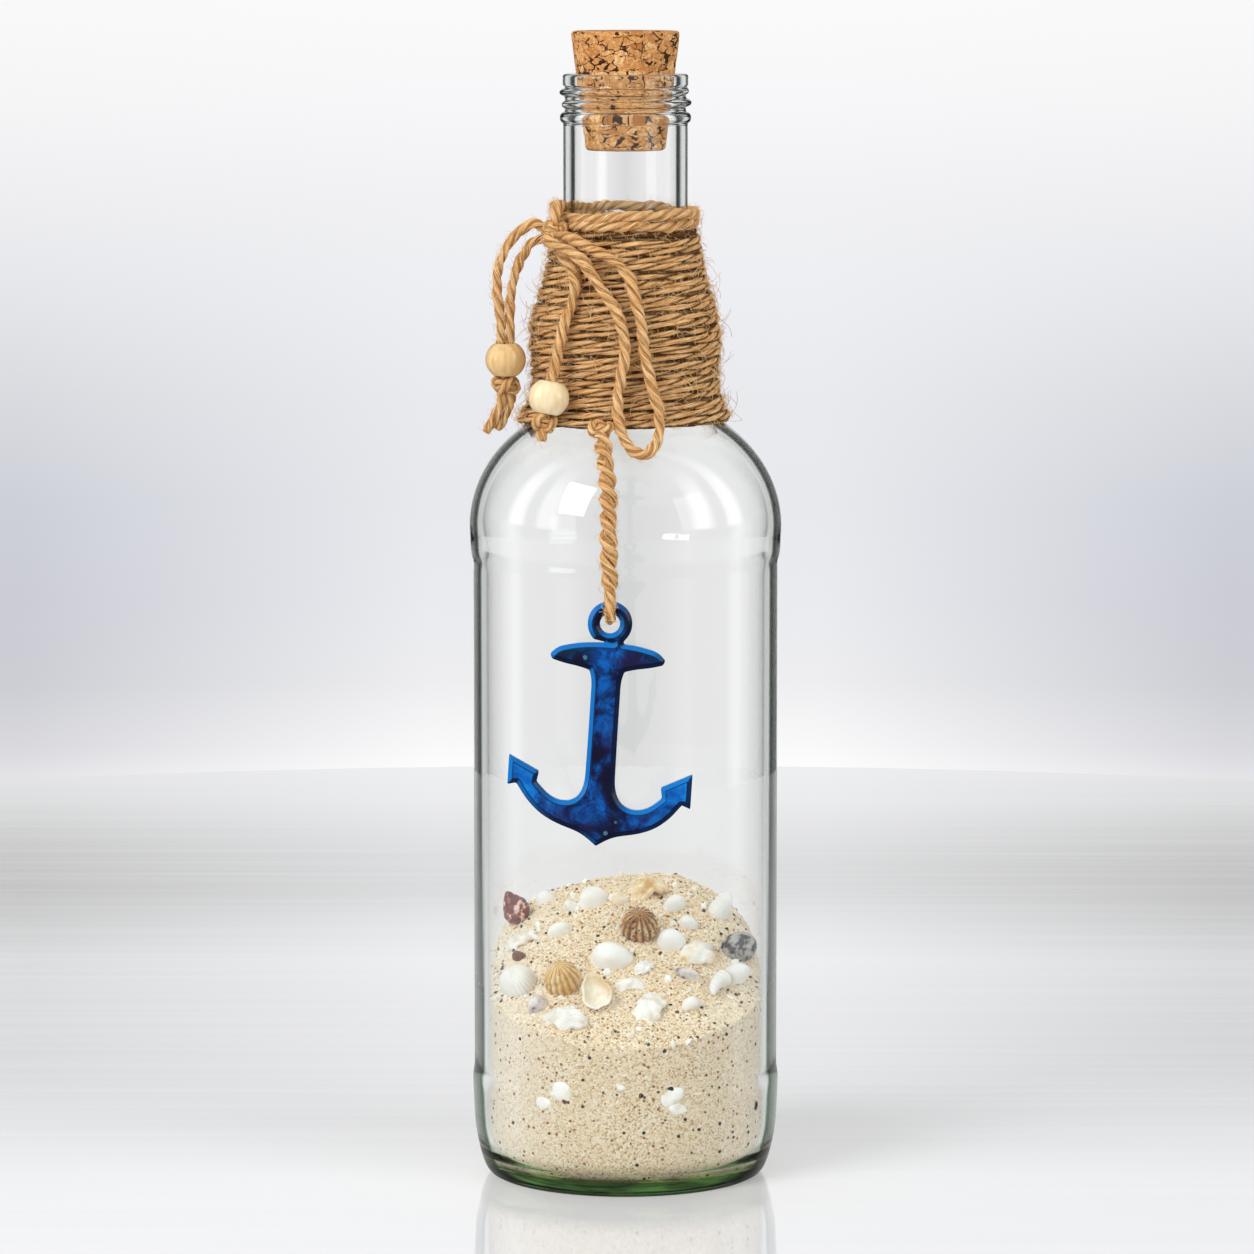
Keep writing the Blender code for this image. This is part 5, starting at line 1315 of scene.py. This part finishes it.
sideStones = {  # across, level, half width, half height
    "pale": ((-0.0189, 0.0215, 0.0019, 0.0014), (-0.0149, 0.0249, 0.0023, 0.0021),
             (0.0107, 0.0243, 0.0021, 0.0022), (0.0119, 0.0211, 0.0016, 0.0012),
             (-0.0012, 0.0266, 0.0011, 0.0010)),
    "night": ((-0.0137, 0.0228, 0.0006, 0.0006), (0.0288, 0.0190, 0.0006, 0.0010),
              (0.0102, 0.0262, 0.0007, 0.0005), (0.0035, 0.0246, 0.0005, 0.0006)),
}


def layShell(node, shape, look, across, depth, degrees, long, wide, tall, seed):
    points, faces, uv = shape([shellUnit * share for share in (long / 2, wide / 2, tall)], seed)
    seat = np.array(seatFrame(across * sandReach, depth * sandReach, math.radians(degrees)))
    return makePiece(camel(node), points @ seat[:3, :3].T + seat[:3, 3], faces, shellLooks[look], uv)


stonePlace = {"wall": 0.0322, "seat": 0.03205, "thick": 0.0010, "spread": 1.4, "rough": 0.22}


def sideStone(across, level, wide, tall, s=stonePlace):
    # pressed against the inside of the wall, just proud of the sand
    angle = math.asin(across / s["wall"])
    out = Vector((math.sin(angle), -math.cos(angle), 0))
    seat = Matrix((Vector((math.cos(angle), math.sin(angle), 0)), Vector((0, 0, 1)), out)).transposed()
    sizes = (wide * s["spread"], tall * s["spread"], s["thick"])
    points, faces, uv = pebbleShape(sizes, int(level * 1e5), s["rough"])
    middle = np.array((*(out * s["seat"])[:2], level))
    return points @ np.array(seat).T + middle, faces, uv, np.zeros(len(points))


shellLooks = {name: shellFinish(name, look) for name, look in shellColours.items()}
shells = [layShell(*row, seed) for seed, row in enumerate(shellRows)]
sideStonePieces = [joinStrands(kind + "SideStones", [sideStone(*stone) for stone in sideStones[kind]], look)
                   for kind, look in (("pale", shellLooks["shellChalk"]), ("night", grainLooks["darkGrain"]))]
print("shells laid")


# beads
beadSizes = {"radius": 0.0048, "half": 0.00395, "hole": 0.00235, "endDegrees": 58, "sides": 64}


def beadFinish(name, pale, deep):
    material, tree, shader, place = newFinish(name, 0.28, 0.5, {"Coat Weight": 0.35, "Coat Roughness": 0.15})
    veins = noise(tree, mapped(tree, place, (700.0, 700.0, 90.0)), 1.0, 4.0)[0]
    paint(tree, shader, ramp(tree, veins, [(0.35, deep), (0.62, pale)]),
          relief(tree, place, 700.0, 0.00005, 0.3))
    return material


def makeBead(name, middle, upright, material, s):
    rise, hole, half = s["half"] / math.sin(math.radians(s["endDegrees"])), s["hole"], s["half"]
    outside = ellipse(0, 0, s["radius"], rise, -s["endDegrees"], s["endDegrees"], 26)
    ring = softened(np.concatenate([[(hole, 0), (hole, -half + 0.0002)], outside,
                                    [(hole, half - 0.0002), (hole, 0)]]),
                    0.00022, 0.00018)[:-1]
    points = spun(ring[:, :1], ring[:, 1:], around(s["sides"])).reshape(-1, 3)
    turn = np.array(Vector((0, 0, 1)).rotation_difference(Vector(upright)).to_matrix())
    return makePiece(name, points @ turn.T + np.array(middle), ringFaces(len(ring), s["sides"]), material)


leftBead = makeBead("leftBead", (-0.0283, -0.0125, 0.19725), (0, 0, 1),
                    beadFinish("beadTan", (0.76, 0.53, 0.25), (0.66, 0.40, 0.15)), beadSizes)
tailBead = makeBead("tailBead", (-0.01795, -0.02228, 0.18897), tailUpright,
                    beadFinish("beadPale", (0.90, 0.74, 0.48), (0.82, 0.63, 0.36)), beadSizes)
print("beads threaded")


# anchor
anchorSizes = {
    "halfSpan": 0.0215, "drop": 0.0524, "thick": 0.0027, "voxel": 0.00021, "wear": 9, "bevelWidth": 0.00115,
    "bevelDepth": 0.0007, "eye": 0.0052, "hole": 0.00235, "tilt": 3.7, "skew": 0.075,
    "place": (-0.0036, -0.0402, 0.1378), "outline": (
        (0.158, 0.088), (0.33, 0.095), (0.57, 0.118), (0.610, 0.135), (0.625, 0.152), (0.60, 0.172),
        (0.47, 0.188), (0.30, 0.198), (0.19, 0.212), (0.158, 0.245), (0.158, 0.50), (0.163, 0.724),
        (0.20, 0.777), (0.27, 0.810), (0.354, 0.822), (0.45, 0.820), (0.56, 0.798), (0.685, 0.748),
        (0.665, 0.700), (1.0, 0.632), (1.0, 0.777), (0.905, 0.765), (0.79, 0.830), (0.65, 0.882),
        (0.51, 0.912), (0.36, 0.932), (0.205, 0.945), (0.09, 0.972), (0.0, 1.0)),
}
enamelTones = [(0.41, (0.004, 0.003, 0.022)), (0.49, (0.002, 0.011, 0.066)), (0.56, (0.000, 0.042, 0.20)),
               (0.65, (0.000, 0.105, 0.43)), (0.80, (0.001, 0.22, 0.66))]


def enamelFinish():
    material, tree, shader, place = newFinish("anchorEnamel", 0.32, 0.15,
                                              {"Coat Weight": 0.12, "Coat Roughness": 0.10})
    clouds = noise(tree, place, 150.0, 9.0, {"Roughness": 0.70, "Distortion": 0.5})[0]
    body = ramp(tree, calculate(tree, "ADD", clouds, product(tree, mark(tree, "bright"), 0.17)), enamelTones)
    teal = product(tree, mottle(tree, place, 140.0, 0.38, 0.58), product(tree, mark(tree, "teal"), 0.85))
    body = mixColours(tree, teal, body, (0.001, 0.022, 0.026))
    purple = mottle(tree, mapped(tree, place, move=(0.02, 0.05, 0.013)), 110.0, 0.50, 0.64)
    body = mixColours(tree, product(tree, purple, 0.7), body, (0.012, 0.006, 0.048))
    # painted highlight on the bevel where it faces up and to the left, painted shade where it faces away
    lit = ramp(tree, mark(tree, "lit"), [(0.35, 0.0), (0.75, 1.0)])
    rim = mixColours(tree, lit, (0.001, 0.006, 0.034), (0.002, 0.165, 0.52))
    edge = mark(tree, "edge")
    body = mixColours(tree, ramp(tree, edge, [(0.0, 0.0), (0.10, 0.9)]), body, rim)
    # painted shade: a dark line in the crease where the bevel meets the face
    seam = ramp(tree, edge, [(0.0, 0.0), (0.06, 0.9), (0.12, 0.9), (0.22, 0.0)])
    body = mixColours(tree, seam, body, (0.001, 0.003, 0.018))
    body = mixColours(tree, product(tree, specks(tree, place, 420.0, 0.05, 0.30), 0.35), body,
                      (0.18, 0.42, 0.62))
    paint(tree, shader, body, relief(tree, place, 260.0, 0.00030, 0.4))
    return material


def easedOutline(points):
    # more points along the sides, and eased where the outline turns gently
    points = np.asarray(points)
    before, after = np.roll(points, 1, 0), np.roll(points, -1, 0)
    one, two = points - before, after - points
    bend = np.abs(np.arctan2(one[:, 0] * two[:, 1] - one[:, 1] * two[:, 0], (one * two).sum(1)))
    result, firm = [], []
    for point, following, turn in zip(points, after, bend):
        steps = max(1, int(np.linalg.norm(following - point) / 0.0007))
        for step in range(steps):
            result.append(point + (following - point) * step / steps)
            firm.append(step == 0 and turn > 0.75)
    result, firm = np.array(result), np.array(firm)
    for _ in range(6):
        eased = 0.5 * result + 0.25 * (np.roll(result, 1, 0) + np.roll(result, -1, 0))
        result = np.where(firm[:, None], result, eased)
    return result


def anchorRings(s):
    # the outline and the hole of the eye, in a plane
    def skewed(x, z):
        weight = min(1, max(0, (-z / s["drop"] - 0.5) / 0.2))
        return x, z - s["skew"] * weight * x

    right = [(out * s["halfSpan"], -down * s["drop"]) for out, down in s["outline"]]
    left = [(-x, z) for x, z in reversed(right[:-1])]
    sides = [skewed(*point) for point in right + left]
    start = math.degrees(math.atan2(sides[0][1], sides[0][0])) + 6
    eye = ellipse(0, 0, s["eye"], s["eye"], 180 - start, start, 34)
    hole = ellipse(0, 0, s["hole"], s["hole"], 0, 360, 33)[:-1]
    return np.concatenate([easedOutline(sides)[:-2], eye]), hole


def anchorMarks(mesh, rings, s):
    # how near the edge, how lit, and where the enamel is brighter or greener; the edge is bevelled too
    spots = readPoints(mesh)
    flat = np.array(((1, 0, 0), (0, 0, 1)))
    lines = np.concatenate([evenPath(np.concatenate([ring, ring[:1]]) @ flat, 0.00012) for ring in rings])
    finder = KDTree(len(lines))
    for index, point in enumerate(lines):
        finder.insert(point, index)
    finder.balance()
    nearest, _, gap = zip(*(finder.find((x, 0, z)) for x, _, z in spots.tolist()))
    gap = np.array(gap)
    outward = np.array(nearest)[:, (0, 2)] - spots[:, (0, 2)]
    outward = np.where((gap < 0.0005)[:, None], readPoints(mesh, "normal")[:, (0, 2)], outward)
    outward /= np.linalg.norm(outward, axis=1)[:, None] + 1e-9
    x, z = spots[:, 0], spots[:, 2]
    edge = np.clip(1 - gap / s["bevelWidth"], 0, 1)
    spots[:, 1] = np.sign(spots[:, 1]) * np.minimum(np.abs(spots[:, 1]),
                                                    s["thick"] / 2 - s["bevelDepth"] * edge)
    mesh.vertices.foreach_set("co", spots.ravel())
    arms = np.clip((np.abs(x) - 0.007) / 0.005, 0, 1) * (z < -0.028)
    setMarks(mesh, {
        "edge": edge, "lit": 0.5 + 0.5 * (outward @ np.array((-0.74, 0.67))),
        "bright": np.clip(np.exp(-(x / 0.0048) ** 2 - ((z + 0.0075) / 0.0038) ** 2) + arms, 0, 1),
        "teal": np.clip(np.clip((np.abs(x) - 0.0030) / 0.002, 0,
                                1) * (z > -0.02) + np.clip((z + 0.005) / 0.002, 0, 1), 0, 1)})


def makeAnchor(s, material):
    # cut from a plate, cast and worn round, then bevelled
    rings, work, edges = anchorRings(s), bmesh.new(), []
    for ring in rings:
        verts = [work.verts.new((x, -s["thick"] / 2, z)) for x, z in ring]
        edges += [work.edges.new(pair) for pair in zip(verts, verts[1:] + verts[:1])]
    bmesh.ops.triangle_fill(work, use_beauty=True, edges=edges)
    moved = bmesh.ops.extrude_face_region(work, geom=list(work.faces))
    back = [item for item in moved["geom"] if isinstance(item, bmesh.types.BMVert)]
    bmesh.ops.translate(work, vec=(0, s["thick"], 0), verts=back)
    bmesh.ops.recalc_face_normals(work, faces=work.faces)
    mesh = bpy.data.meshes.new("anchorPlate")
    work.to_mesh(mesh)
    work.free()
    carrier = addObject("anchorCarrier", mesh)
    cast = carrier.modifiers.new("cast", "REMESH")
    cast.mode, cast.voxel_size = "VOXEL", s["voxel"]
    carrier.modifiers.new("worn", "SMOOTH").iterations = s["wear"]
    final = bakeOut(carrier)
    anchorMarks(final, rings, s)
    final.transform(Matrix.Translation(s["place"]) @ Matrix.Rotation(math.radians(s["tilt"]), 4, "Y"))
    final.materials.clear()
    final.materials.append(material)
    final.shade_smooth()
    return addObject("anchorPlate", final)


anchor = makeAnchor(anchorSizes, enamelFinish())
print("anchor cut")


# studio
studio = {
    "floorLevel": -0.00025, "floorRadii": (0.02, 0.06, 0.15, 0.35, 0.69), "floorSides": 96, "world": 0.74,
    "key": 9.0, "fill": 2.4, "narrow": 0.0334, "wide": 0.1029,
    "nearTones": [(0.02, 0.84), (0.113, 0.88), (0.204, 0.70), (0.303, 0.76), (0.414, 0.82), (0.494, 0.895),
                  (0.57, 0.805), (0.652, 0.65), (0.722, 0.665), (0.806, 0.78), (0.892, 0.92), (0.984, 0.99)],
    "farTones": [(0.02, 0.82), (0.113, 0.82), (0.204, 0.68), (0.303, 0.59), (0.414, 0.61), (0.494, 0.62),
                 (0.57, 0.47), (0.652, 0.34), (0.722, 0.36), (0.806, 0.48), (0.892, 0.67), (0.984, 0.79)],
    "skyMiddle": [(0.025, (0.991, 0.991, 0.991)), (0.057, (0.947, 0.947, 0.956)),
                  (0.138, (0.855, 0.855, 0.871)), (0.239, (0.823, 0.831, 0.863)),
                  (0.364, (0.807, 0.815, 0.847)), (0.49, (0.815, 0.823, 0.855)),
                  (0.616, (0.847, 0.855, 0.888)), (0.742, (0.88, 0.88, 0.896)),
                  (0.868, (0.93, 0.93, 0.947)), (0.98, (0.956, 0.956, 0.956))],
    "skySides": [(0.025, (0.768, 0.768, 0.799)), (0.057, (0.694, 0.694, 0.73)), (0.138, (0.61, 0.617, 0.658)),
                 (0.239, (0.597, 0.604, 0.665)), (0.364, (0.617, 0.631, 0.694)),
                 (0.49, (0.694, 0.701, 0.738)), (0.616, (0.776, 0.784, 0.815)), (0.742, (0.855, 0.855, 0.88)),
                 (0.868, (0.913, 0.913, 0.922)), (0.98, (0.947, 0.947, 0.947))],
}
wallTones = {  # round the room from behind the bottle, 0, to behind the camera, 1
    "mirrored": [(0.0, 0.35), (0.16, 0.30), (0.22, 0.85), (0.27, 0.85), (0.31, 0.22), (0.46, 0.15),
                 (0.50, 1.0), (0.57, 1.0), (0.61, 0.12), (0.80, 0.04), (0.915, 0.05), (0.95, 0.85),
                 (1.0, 0.85)],
    "through": [(0.0, 0.80), (0.30, 0.45), (0.48, 0.15), (0.52, 1.0), (0.56, 1.0), (0.60, 0.03), (0.74, 0.05),
                (0.81, 0.80), (0.90, 0.88), (0.955, 0.95), (0.985, 0.87), (1.0, 0.75)],
    "boxes": [(0.0, 0.08), (0.27, 0.07), (0.31, 1.0), (0.37, 1.0), (0.40, 0.12), (0.44, 0.12), (0.46, 0.9),
              (0.51, 0.9), (0.55, 0.10), (0.66, 0.10), (0.72, 0.015), (0.915, 0.015), (0.95, 0.20),
              (1.0, 0.20)],
    "clear": [(0.0, 0.83), (0.81, 0.83), (0.90, 0.86), (0.955, 0.91), (0.985, 0.83), (1.0, 0.71)],
}


def makeFloor(s):
    material, tree, shader, place = newFinish("studioFloor", 0.035, 0.9)
    across, depth, _ = axes(tree, place)
    deep = calculate(tree, "DIVIDE", calculate(tree, "ADD", depth, 0.1), 0.79)
    fromCamera = calculate(tree, "ADD", depth, -cameraSettings["place"][1])
    aside = calculate(tree, "DIVIDE", calculate(tree, "ABSOLUTE", across), fromCamera)
    near, far = (ramp(tree, deep, s[key]) for key in ("nearTones", "farTones"))
    tone = mixColours(tree, spread(tree, aside, s["narrow"], s["wide"]), near, far)
    fine = noise(tree, mapped(tree, place, (3.0, 160.0, 1.0)), 1.0, 3.0)[0]
    tone = mixColours(tree, ramp(tree, fine, [(0.40, 0.0), (0.70, 0.12)]), tone, (0.97, 0.97, 0.98))
    # painted reflection: the floor shows nearly black in first reflections off other things, and is painted
    # paler where seen through the glass
    path = put(tree, "ShaderNodeLightPath").outputs
    through = path["Is Transmission Ray"]
    darkInReflections = product(tree, path["Is Glossy Ray"], calculate(tree, "SUBTRACT", 1.0, through))
    darkInReflections = product(tree, darkInReflections, calculate(tree, "LESS_THAN", path["Ray Depth"], 1.5))
    tone = mixColours(tree, 1.0, tone, (0.985, 0.992, 1.02), "MULTIPLY")
    tone = mixColours(tree, product(tree, through, 0.8), tone, (0.97, 0.97, 0.975))
    paint(tree, shader, mixColours(tree, product(tree, darkInReflections, 0.8), tone, (0.02, 0.02, 0.02)))
    sides, radii = s["floorSides"], np.array(s["floorRadii"])
    points = spun(radii[:, None], s["floorLevel"], around(sides)).reshape(-1, 3)
    faces = gridFaces(len(radii), sides) + [[len(points), (side + 1) % sides, side] for side in range(sides)]
    mesh = bpy.data.meshes.new("studioFloor")
    mesh.from_pydata(np.concatenate([points, [[0, 0, s["floorLevel"]]]]).tolist(), [],
                     [face[::-1] for face in faces])
    mesh.materials.append(material)
    return addObject("studioFloor", mesh)


def makeWorld(s, tones):
    world = bpy.data.worlds.new("studioSky")
    scene.world = world
    world.use_nodes = True
    tree = world.node_tree
    tree.nodes.clear()
    across, depth, up = axes(tree, put(tree, "ShaderNodeTexCoord").outputs["Generated"])
    drop = spread(tree, up, -0.146, -0.012)
    aside = calculate(tree, "ABSOLUTE", calculate(tree, "DIVIDE", across, depth))
    middle, sides = (ramp(tree, drop, s[key]) for key in ("skyMiddle", "skySides"))
    seen = mixColours(tree, spread(tree, aside, s["narrow"], s["wide"]), middle, sides)
    side = calculate(tree, "ABSOLUTE", calculate(tree, "ARCTAN2", across, product(tree, depth, -1.0)))
    turn = calculate(tree, "DIVIDE", side, math.pi)
    mirrored, through, boxes, clear = (ramp(tree, turn, stops) for stops in tones.values())
    # the lamps' soft boxes
    mirrored = mixColours(tree, spread(tree, up, 0.02, 0.07), mirrored, product(tree, boxes, 4.3))
    mirrored = mixColours(tree, spread(tree, up, 0.55, 0.85), mirrored, (0.95, 0.95, 0.95))
    path = put(tree, "ShaderNodeLightPath").outputs
    straight = calculate(tree, "GREATER_THAN", path["Transmission Depth"], 2.5)  # out through both walls
    through = mixColours(tree, straight, through, clear)
    mirrored = mixColours(tree, calculate(tree, "GREATER_THAN", path["Ray Depth"], 2.5), mirrored, through)
    shown = mixColours(tree, path["Is Glossy Ray"], (s["world"],) * 3, mirrored)
    shown = mixColours(tree, path["Is Transmission Ray"], shown, through)
    shown = mixColours(tree, path["Is Camera Ray"], shown, seen)
    back = put(tree, "ShaderNodeBackground", {"Color": shown, "Strength": 1.0})
    tree.links.new(back.outputs[0], put(tree, "ShaderNodeOutputWorld").inputs["Surface"])


def addLamp(name, place, energy, size=(0.5, 0.7), aim=(0, 0, 0.13)):
    lamp = bpy.data.lights.new(name, "AREA")
    lamp.shape = "RECTANGLE"
    lamp.size, lamp.size_y = size
    lamp.energy = energy
    holder = addObject(name, lamp)
    holder.location = place
    holder.rotation_euler = (Vector(aim) - Vector(place)).to_track_quat("-Z", "Y").to_euler()
    holder.visible_camera = holder.visible_glossy = False


floor = makeFloor(studio)
makeWorld(studio, wallTones)
addLamp("keyLamp", (-0.75, -0.75, 0.85), studio["key"])
addLamp("fillLamp", (0.9, -0.6, 0.5), studio["fill"])
print("studio lit")


# what moves with what: piece, body, slot and the nodes that it stands for
shellSlots = {row["node"]: row["material_slot"] for row in frame["record"]["subparts"]}
dressed = [
    (bottle, "bottle_body", "glass", "bottle"),
    (sandBed, "bottle_body", "sand", "sand_bed"),
    *((piece, "bottle_body", "sand") for piece in grains),
    (winding, "bottle_body", "twine", "neck_twine"),
    (wrapCore, "bottle_body", "twine", "twine_underlay"),
    (tie, "bottle_body", "twine", "tie_twine"),
    (bowKnot, "bottle_body", "twine", "bow_knot"),
    (hitch, "bottle_body", "twine", "pendant_hitch"),
    (cork, "cork", "cork", "cork_stopper"),
    (leftOuterString, "left_tassel", "twine", "left_string_outer", "left_string_end"),
    (leftInnerString, "left_tassel", "twine", "left_string_inner"),
    (leftStopper, "left_tassel", "twine", "left_stopper_knot"),
    (leftBead, "left_bead_ring", "bead_wood", "left_bead"),
    (tailString, "tail_tassel", "twine", "tail_string", "tail_string_end"),
    (tailStopper, "tail_tassel", "twine", "tail_stopper_knot"),
    (tailBead, "tail_bead_ring", "bead_wood", "tail_bead"),
    (loopString, "bow", "twine", "bow_loop"),
    (pendantCord, "pendant", "twine", "pendant_cord"),
    (anchor, "anchor_plate", "anchor_enamel", "anchor"),
    *fuzz,
    *((piece, "bottle_body", "sand") for piece in sideStonePieces),
    *((piece, "bottle_body", shellSlots[row[0]], row[0]) for piece, row in zip(shells, shellRows)),
]
for piece, body, slot, *nodes in dressed:
    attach(piece, body)
    if nodes:
        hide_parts(*nodes)
